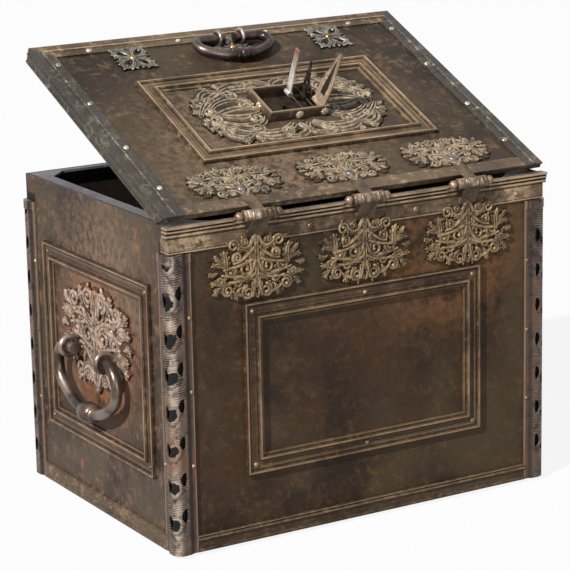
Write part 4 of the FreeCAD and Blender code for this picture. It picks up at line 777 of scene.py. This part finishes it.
# Upper hinge leaves: the same pierced and chased iron foliage as below the hinges, turned round, and
# riveted flat on the lid behind the straps. Its high places carry a painted highlight, its hollows
# painted shade.
lid_foliage_iron = iron("lid_foliage_iron", (33, 27, 22), (78, 67, 55), (166, 151, 131), 0.25,
        rough=0.38, metal=0.02, shaded_relief=True, lacquer=(1.05, 1.0, 0.90, 1.0), calm=0.6)
lid_seat = seat_on(lid_spot(0, 0, 0), (1, 0, 0), lid_way)
leaf_foot, leaf_tip = 16.3, 64.3
upper_ground = ground_paint("upper_strap_iron", tuple(lid_way),
        lid_spot(0, leaf_foot * 0.001, 0).dot(lid_way), 9.0, (128, 114, 96), (50, 40, 31))
for number, side in enumerate(sides):
    show_relief("upper_foliage_" + side, relief_mesh(scroll_strokes(52, leaf_foot, leaf_tip,
            31 + number, 3.4, -1), 0.5, 2.15, 2.0), lid_foliage_iron,
            lid_seat @ Matrix.Translation(((number - 1) * hinge_pitch, 0, 0)), "lid")
    dress(upper_ground, "upper_hinge_" + side)

# Scroll plate round the keyhole box: broad acanthus leaves that flow from the box to both ends. Their
# ribs run along each leaf and carry a painted highlight, with painted shade between. Riveted flat on
# the lid.
def ribbed_leaf(control, width, ribs):
    """A long leaf along a smooth path: a low blade with ribs that meet at its tip."""
    control = np.array(control, float)
    spread = np.linspace(0, 1, len(control))
    share = np.linspace(0, 1, 25)
    points = np.stack([np.polyval(np.polyfit(spread, control[:, k], min(3, len(control) - 1)), share)
            for k in (0, 1)], 1)
    way = np.gradient(points, axis=0)
    way /= np.linalg.norm(way, axis=1)[:, None]
    side = np.stack((-way[:, 1], way[:, 0]), 1)
    blade = width * 0.5 * (0.35 + 0.65 * np.sin(math.pi * np.clip(share * 0.85 + 0.15, 0, 1))) + 0.2
    leaf = [stroke(points, blade, 0.0, 0.35)]
    for rib in range(ribs):
        off = (rib + 0.5) / ribs * 2 - 1
        leaf.append(stroke(points + side * (off * blade * 0.8)[:, None],
                np.maximum(blade / ribs * 0.72, 0.45), 0.0, 1 - 0.2 * abs(off)))
    return leaf


# One quarter of the plate, from its middle in millimetres. Leaves: path, width, ribs. Eyes: place,
# radius, start angle, turns. Tips: root and point.
leaf_paths = [(((12, 31), (34, 41), (62, 39), (84, 23), (102, 4)), 19, 3),
        (((36, 12), (52, 25), (72, 23), (90, 8)), 17, 3),
        (((34, 2), (54, 8), (74, 5), (94, -4)), 14, 2),
        (((18, 36), (28, 49), (48, 51), (60, 43), (58, 34)), 13, 2),
        (((6, 32), (2, 44), (14, 53), (26, 51), (28, 42)), 12, 2),
        (((62, 36), (74, 44), (90, 36), (87, 26), (78, 26)), 12, 2)]
eye_table = [(54, 31, 9.0, 40, 1.25), (24, 41, 7.5, 90, -1.25), (80, 27, 6.5, 0, 1.2),
        (91, 7, 7.0, 200, -1.2), (45, 12, 8.0, 300, 1.25)]
tip_table = [((98, 8), (107, 13)), ((72, 44), (80, 52)), ((58, 48), (62, 55)), ((16, 51), (20, 56)),
        ((88, 30), (100, 30)), ((94, 20), (105, 22))]
middle_run, ground_lift = 153.0, 0.12
lid_strokes = [stroke([(-half, middle_run + v), (half, middle_run + v)], [reach, reach], 0.0,
        ground_lift) for half, v, reach in ((84, 0, 13.0), (52, -26, 14.0), (52, 26, 14.0))]
rng = np.random.default_rng(53)
for sign_u in (-1, 1):
    for sign_v in (-1, 1):
        quarter = []
        for path, width, ribs in leaf_paths:
            quarter += ribbed_leaf(path, width, ribs)
        for u, v, radius, start, turns in eye_table:
            quarter += spiral(u, v, radius, 2.5, start, turns)
        for start, end in tip_table:
            quarter += leaf_family(start, end, 0.8, 6.0, rng, 2)
        lid_strokes += moved(quarter, (sign_u, sign_v), (0, middle_run))
show_relief("lid_foliage", relief_mesh(lid_strokes, 0.6, 2.15, 3.0, (), (0, 156.5, 36.0, 25.5)),
        lid_foliage_iron, lid_seat, "lid")
dress(upper_ground, "lid_ornament")

# Pierced plates behind the drop handles of the end walls: chased foliage in the same manner, with
# painted highlights on the crowns and the ground between the strokes painted a dark rusty orange, which
# is also painted shade. The handle's eyes go through them.
end_foliage_iron = iron("end_foliage_iron", (42, 32, 26), (82, 67, 57), (158, 141, 127), 0.6,
        (128, 78, 50), rough=0.4, metal=0.12, shaded_relief=True, lacquer=(1.03, 0.98, 0.92, 1.0), calm=0.7)
end_ground = ground_paint("end_ground_iron", (0, 0, 1), 0.1, 0.3, (128, 80, 50), (66, 44, 32))
for name, side, seed in (("left", -1, 71), ("right", 1, 72)):
    strokes = scroll_strokes(78, 138, 244, seed, 3.4, -1)
    strokes += [stroke([(u, 176), (u, 176)], [8.2, 8.2], 0.0, 0.25) for u in (-40, 40)]
    show_relief("end_foliage_" + name, relief_mesh(strokes, 0.7, 2.15, 2.6), end_foliage_iron,
            seat_on((side * half_width, body_y, 0), (0, side, 0), (0, 0, 1)), "chest")
    dress(end_ground, "side_ornament_" + name)

# Rosettes near the opening edge of the lid: four pierced leaves under a brass ball rivet. They keep
# more of their old blue-grey scale than the rest. The middle one lies under the handle's eyes.
def rosette_strokes(seed):
    rng = np.random.default_rng(seed)
    strokes = [stroke([(0, 0), (0, 0)], [6.0, 6.0], 0.0, 0.7)]
    for quarter in range(4):
        way = pair(math.radians(45 + 90 * quarter))
        side = np.array((-way[1], way[0]))
        for turn in (-1, 1):
            strokes.append(leaf_stroke(way * 3, way * 25.5, turn * 6.2, 5.4, 0.3))
            for share, reach in ((0.32, 7.5), (0.55, 7.5), (0.8, 5.0)):
                root = way * 24 * share + side * turn * 5.6 * (1 - (2 * share - 1) ** 2)
                strokes.append(leaf_stroke(root, root + (side * turn * 0.9 + way * 0.5) * reach,
                        turn * 0.8, rng.uniform(3.4, 4.2), 0.25, 0.9))
        strokes.append(leaf_stroke(way * 17, way * 28.5, 0.0, 5.0, 0.3))
    return strokes


rosette_pitch, rosette_run = 120.5, 278
rosette_iron = iron("rosette_iron", (36, 36, 38), (70, 73, 76), (158, 154, 146), 0.12, rough=0.36,
        metal=0.55, shaded_relief=True)
for number, eye_holes in enumerate(((), ((-14, 289, 8.0), (14, 289, 8.0)), ())):
    strokes = moved(rosette_strokes(90 + number), (1, 1), ((number - 1) * rosette_pitch, rosette_run))
    show_relief("rosette_leaves_%d" % number, relief_mesh(strokes, 0.5, 1.75, 1.4, eye_holes),
            rosette_iron, lid_seat, "lid")
dress(rosette_iron, "rosettes")
brass = Paint("brass_ball")
tarnish = brass.noise(120.0, 4.0, 0.6)
brass.color = brass.mix(tarnish.band(0.40, 0.62), (158, 130, 90), (96, 76, 52))
dress(brass.finish(tarnish * 0.4 + 0.1, 1.0, tarnish, 0.0001), "rosette_rivets")

# Keyhole box and its covers: four low filed iron strips, with painted shade low down and a painted
# highlight on top.
# covers turn on cross pins: a bright steel strip with a rusty tip, a dark leaf and a folded flap.
dress(iron("box_iron", (38, 31, 26), (62, 52, 44), (128, 114, 98), 0.2, rough=0.42, metal=0.08,
        ridge_shading=(lid_face, plate_level + 0.001, plate_level + 0.014)), "keyhole_box")
steel = Paint("cover_steel")
filed = steel.noise(55.0, 5.0, 0.6, (1.0, 1.0, 0.25))
rust_level = lid_spot(0, 0, 0.054).dot(lid_up)
steel.color = steel.mix(filed.band(0.36, 0.62), (128, 114, 104), (236, 228, 220))
steel.lay(steel.noise(26.0, 4.0, 0.6).band(0.54, 0.68) * 0.4, (122, 84, 60))
steel.lay(steel.along(lid_face).band(rust_level - 0.006, rust_level + 0.006) * 0.85, (138, 92, 62))
dress(steel.finish(filed * 0.35 + 0.16, 0.6, filed, 0.0002), "keyhole_strip")
dress(iron("flap_iron", (80, 68, 58), (138, 123, 108), (206, 193, 177), 0.3, rough=0.34, metal=0.25),
        "keyhole_flap")
dress(iron("cover_pin_iron", (24, 19, 16), (40, 33, 28), (76, 66, 58), 0.2), "cover_pins")
dress(iron("leaf_iron", (18, 15, 14), (30, 26, 24), (92, 84, 78), 0.1, rough=0.3, metal=0.6),
        "keyhole_leaf")

# Mouth of the flap: the sheet is folded like a trough that opens towards the hinges. The shade between
# its two edges is painted shade: a thin near-black plate in the flap that turns with it.
flap_x, flap_foot, flap_width, flap_length, pin_lift = 29.5, 134.3, 20.0, 58.0, 10.0
flap_lean = math.radians(14.0)
mouth_points = []
for off in (-0.45, 0.45):
    for across, share in ((0.27, 0.14), (0.73, 0.14), (0.74, 0.34), (0.54, 0.90), (0.46, 0.90),
            (0.26, 0.34)):
        x = flap_x + off * math.cos(flap_lean) + share * flap_length * math.sin(flap_lean)
        lift = pin_lift + share * flap_length * math.cos(flap_lean) - off * math.sin(flap_lean)
        run = flap_foot + across * flap_width
        mouth_points.append(lid_spot(x * 0.001, run * 0.001, lift * 0.001))
mouth_faces = [(5, 4, 3, 2, 1, 0), (6, 7, 8, 9, 10, 11)]
mouth_faces += [(k, (k + 1) % 6, (k + 1) % 6 + 6, k + 6) for k in range(6)]
mouth_shade_iron = iron("mouth_shade_iron", (7, 6, 6), (12, 10, 9), (24, 20, 18), 0.0, rough=0.6, metal=0.0)
show("flap_mouth_shade", closed_mesh("flap_mouth_shade", mouth_points, mouth_faces), mouth_shade_iron, "cover_flap")

# Drop handles and their eyes: round forged bar with a turned bead, smooth from the hand. The handles
# hang in eyes whose shanks pass through the plates and are riveted over inside.
def handle_paint(name, dark, light):
    paint = Paint(name)
    soft = paint.noise(30.0, 4.0, 0.55)
    fine = paint.noise(260.0, 3.0, 0.5)
    paint.color = paint.mix(soft.band(0.40, 0.66), dark, light)
    paint.lay(fine.band(0.58, 0.72) * 0.35, (112, 76, 54))
    return paint.finish(soft * 0.25 + fine * 0.1 + 0.16, 0.85, fine * 0.6 + soft * 0.5, 0.0002)


end_handle_iron = handle_paint("end_handle_iron", (66, 54, 48), (126, 110, 100))
dress(end_handle_iron, "side_handle_left", "side_handle_right")
dress(handle_paint("lid_handle_iron", (48, 39, 38), (94, 81, 77)), "lid_handle")
dress(handle_paint("eye_iron", (92, 76, 66), (170, 154, 142)), "handle_eyes_left", "handle_eyes_right",
        "lid_handle_eyes")
half_bead = [(3.5, 11.2), (8.0, 10.0), (11.0, 8.4), (11.8, 6.8), (12.6, 6.8), (13.2, 7.8), (14.8, 7.6),
        (15.4, 6.0)]
bead_shape = [(-place, radius) for place, radius in reversed(half_bead)] + [(0.0, 11.4)] + half_bead
bar_out, bar_up = 0.235, 0.009
for name, side in (("left", -1), ("right", 1)):
    bar_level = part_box("side_handle_" + name)[0][2] + bar_up
    points, faces = turned_mesh(bead_shape, (0, 0, 0), 48)
    points = [(side * (bar_out + z), body_y + x, bar_level + y) for x, y, z in points]
    show("handle_bead_" + name, closed_mesh("handle_bead_" + name, points, faces), end_handle_iron,
            name + "_handle", 45)

# Rivet heads: hammered iron domes, paler than the plates where they have been rubbed. One tree sets a
# head on every rivet of the assembly, each a little different. The strap rivets of the lid are larger
# and darker, and those of the keyhole box are fluted like shells.
def rivet_tree():
    tree = bpy.data.node_groups.new("rivet_heads", "GeometryNodeTree")
    tree.interface.new_socket("Geometry", in_out="OUTPUT", socket_type="NodeSocketGeometry")
    for label, kind in (("Places", "Geometry"), ("Head Height", "Float"), ("Uneven Share", "Float"),
            ("Flutes", "Float"), ("Flute Depth", "Float"), ("Seed", "Int"), ("Iron", "Material")):
        tree.interface.new_socket(label, in_out="INPUT", socket_type="NodeSocket" + kind)

    def node(kind, values=None, out=0, **settings):
        return add_node(tree, kind, values, out, **settings)

    def given(label):
        return node("NodeGroupInput", out=label)

    def maths(operation, *values):
        return node("ShaderNodeMath", dict(enumerate(values)), operation=operation)

    facing = node("GeometryNodeInputNamedAttribute", {"Name": "facing"}, "Attribute",
            data_type="FLOAT_VECTOR")
    size = node("GeometryNodeInputNamedAttribute", {"Name": "size"}, "Attribute", data_type="FLOAT")
    turn = node("FunctionNodeAlignRotationToVector", {"Vector": facing}, "Rotation", axis="Z")
    ball = node("GeometryNodeMeshUVSphere", {"Segments": 32, "Rings": 12, "Radius": 1.0}, "Mesh")
    spot = node("GeometryNodeInputPosition")
    x, y = (node("ShaderNodeSeparateXYZ", {"Vector": spot}, way) for way in "XY")
    comb = maths("COSINE", maths("MULTIPLY", maths("ARCTAN2", y, x), given("Flutes")))
    fluted = node("ShaderNodeVectorMath", {0: spot, "Scale": maths("MULTIPLY_ADD", comb,
            given("Flute Depth"), 1.0)}, "Vector", operation="SCALE")
    shell = node("GeometryNodeSetPosition", {"Geometry": ball, "Position": fluted}, "Geometry")
    stretch = node("ShaderNodeCombineXYZ", {"X": 1.0, "Y": 1.0, "Z": given("Head Height")}, "Vector")
    dome = node("GeometryNodeTransform", {"Geometry": shell, "Scale": stretch}, "Geometry")
    spread = node("FunctionNodeRandomValue", {2: maths("SUBTRACT", 1.0, given("Uneven Share")),
            3: maths("ADD", 1.0, given("Uneven Share")), "Seed": given("Seed")}, 1, data_type="FLOAT")
    placed = node("GeometryNodeInstanceOnPoints", {"Points": given("Places"), "Instance": dome,
            "Rotation": turn, "Scale": maths("MULTIPLY", spread, size)}, "Instances")
    real = node("GeometryNodeRealizeInstances", {"Geometry": placed}, "Geometry")
    smooth = node("GeometryNodeSetShadeSmooth", {"Geometry": real}, "Geometry")
    coated = node("GeometryNodeSetMaterial", {"Geometry": smooth, "Material": given("Iron")},
            "Geometry")
    node("NodeGroupOutput", {"Geometry": coated})
    return tree


def rivet_places(name):
    """The points of each rivet of a CAD node, one table for each."""
    shape = bmesh.new()
    shape.from_mesh(nodes[name].data)
    bmesh.ops.remove_doubles(shape, verts=shape.verts, dist=0.00001)
    shape.verts.ensure_lookup_table()
    left = set(range(len(shape.verts)))
    found = []
    while left:
        queue, island = [left.pop()], []
        while queue:
            vertex = shape.verts[queue.pop()]
            island.append(tuple(vertex.co))
            for edge in vertex.link_edges:
                other = edge.other_vert(vertex).index
                if other in left:
                    left.remove(other)
                    queue.append(other)
        found.append(np.array(island))
    shape.free()
    return found


def wall_facing(centre):
    x, y, z = centre
    return min((abs(x + half_width), (-1, 0, 0)), (abs(x - half_width), (1, 0, 0)),
            (abs(y - hinge_face), (0, -1, 0)), (abs(y - opening_face), (0, 1, 0)))[1]


def box_facing(centre):
    return (math.copysign(1.0, centre[0]), 0, 0) if abs(centre[0]) > 0.034 else tuple(-lid_way)


def strap_larger(centre):
    """The rivets at the feet of the lid straps are half as large again."""
    at_strap = (Vector(centre) - lid_spot(0, 0, 0)).dot(lid_way) < 0.06 and abs(centre[0]) < 0.15
    return 1.15 * 1.45 if at_strap else 1.15


wall_rivet_iron = iron("wall_rivet_iron", (62, 48, 38), (112, 94, 78), (186, 168, 148), 0.25,
        rough=0.36, metal=0.5)
shell_iron = iron("shell_iron", (84, 74, 66), (140, 128, 116), (214, 204, 192), 0.1, rough=0.3,
        metal=0.6)
head = Paint("lid_rivet_iron")
soft = head.noise(160.0, 4.0, 0.6)
worn = soft.band(0.38, 0.62)
head.color = head.mix(worn, (104, 92, 80), (190, 180, 166))
head.lay(head.attribute("size").band(0.0040, 0.0043), head.mix(worn, (56, 54, 52), (106, 102, 98)))
lid_rivet_iron = head.finish(soft * 0.4 + 0.12, 0.5, soft, 0.0001)
rivet_heads = rivet_tree()
for name, body, facing, grow, values in (
        ("wall_rivets", "chest", wall_facing, lambda centre: 1.12,
                (0.62, 0.1, 0.0, 0.0, 4, wall_rivet_iron)),
        ("lid_rivets", "lid", lambda centre: lid_face, strap_larger,
                (0.62, 0.08, 0.0, 0.0, 5, lid_rivet_iron)),
        ("box_rivets", "lid", box_facing, lambda centre: 1.0,
                (0.66, 0.03, 8.0, 0.09, 6, shell_iron))):
    places, ways, sizes = [], [], []
    for corners in rivet_places(name):
        centre = (corners.min(0) + corners.max(0)) / 2
        way = np.array(facing(centre))
        along = corners @ way
        across = corners - np.outer(along, way)
        radius = np.linalg.norm(across - (across.min(0) + across.max(0)) / 2, axis=1).max()
        places.append(centre + way * (along.min() - centre @ way))
        ways.append(way)
        sizes.append(radius * grow(centre))
    cloud = bpy.data.meshes.new(name + "_places")
    cloud.from_pydata([tuple(place) for place in places], [], [])
    for key, kind, field, rows in (("facing", "FLOAT_VECTOR", "vector", ways),
            ("size", "FLOAT", "value", sizes)):
        table = cloud.attributes.new(key, kind, "POINT").data
        table.foreach_set(field, np.array(rows, np.float32).ravel())
    carrier = bpy.data.objects.new(name + "_carrier", cloud)
    scene.collection.objects.link(carrier)
    modifier = carrier.modifiers.new("heads", "NODES")
    modifier.node_group = rivet_heads
    labels = ("Head Height", "Uneven Share", "Flutes", "Flute Depth", "Seed", "Iron")
    for label, value in zip(labels, values):
        modifier[rivet_heads.interface.items_tree[label].identifier] = value
    mesh = bpy.data.meshes.new_from_object(carrier.evaluated_get(bpy.context.evaluated_depsgraph_get()))
    carrier.modifiers.remove(modifier)
    bpy.data.objects.remove(carrier)
    mesh.name = name + "_heads"
    piece = show(name + "_heads", mesh, None, body)
    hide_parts(name)

# Lock under the lid: plates and guides of oiled dark iron riveted to the lid plate, and the hub and
# bars that slide in them, rubbed brighter where the bolts move.
dress(iron("lock_plate_iron", (34, 28, 24), (54, 45, 39), (86, 74, 64), 0.35, rough=0.45, metal=0.55),
        "lock_plate", "lock_cover", "bolt_guides")
dress(iron("bolt_iron", (62, 56, 52), (96, 88, 82), (146, 138, 130), 0.2, rough=0.36, metal=0.75),
        "throw_bar_left", "throw_bar_right", "throw_bar_opening", "key_hub")
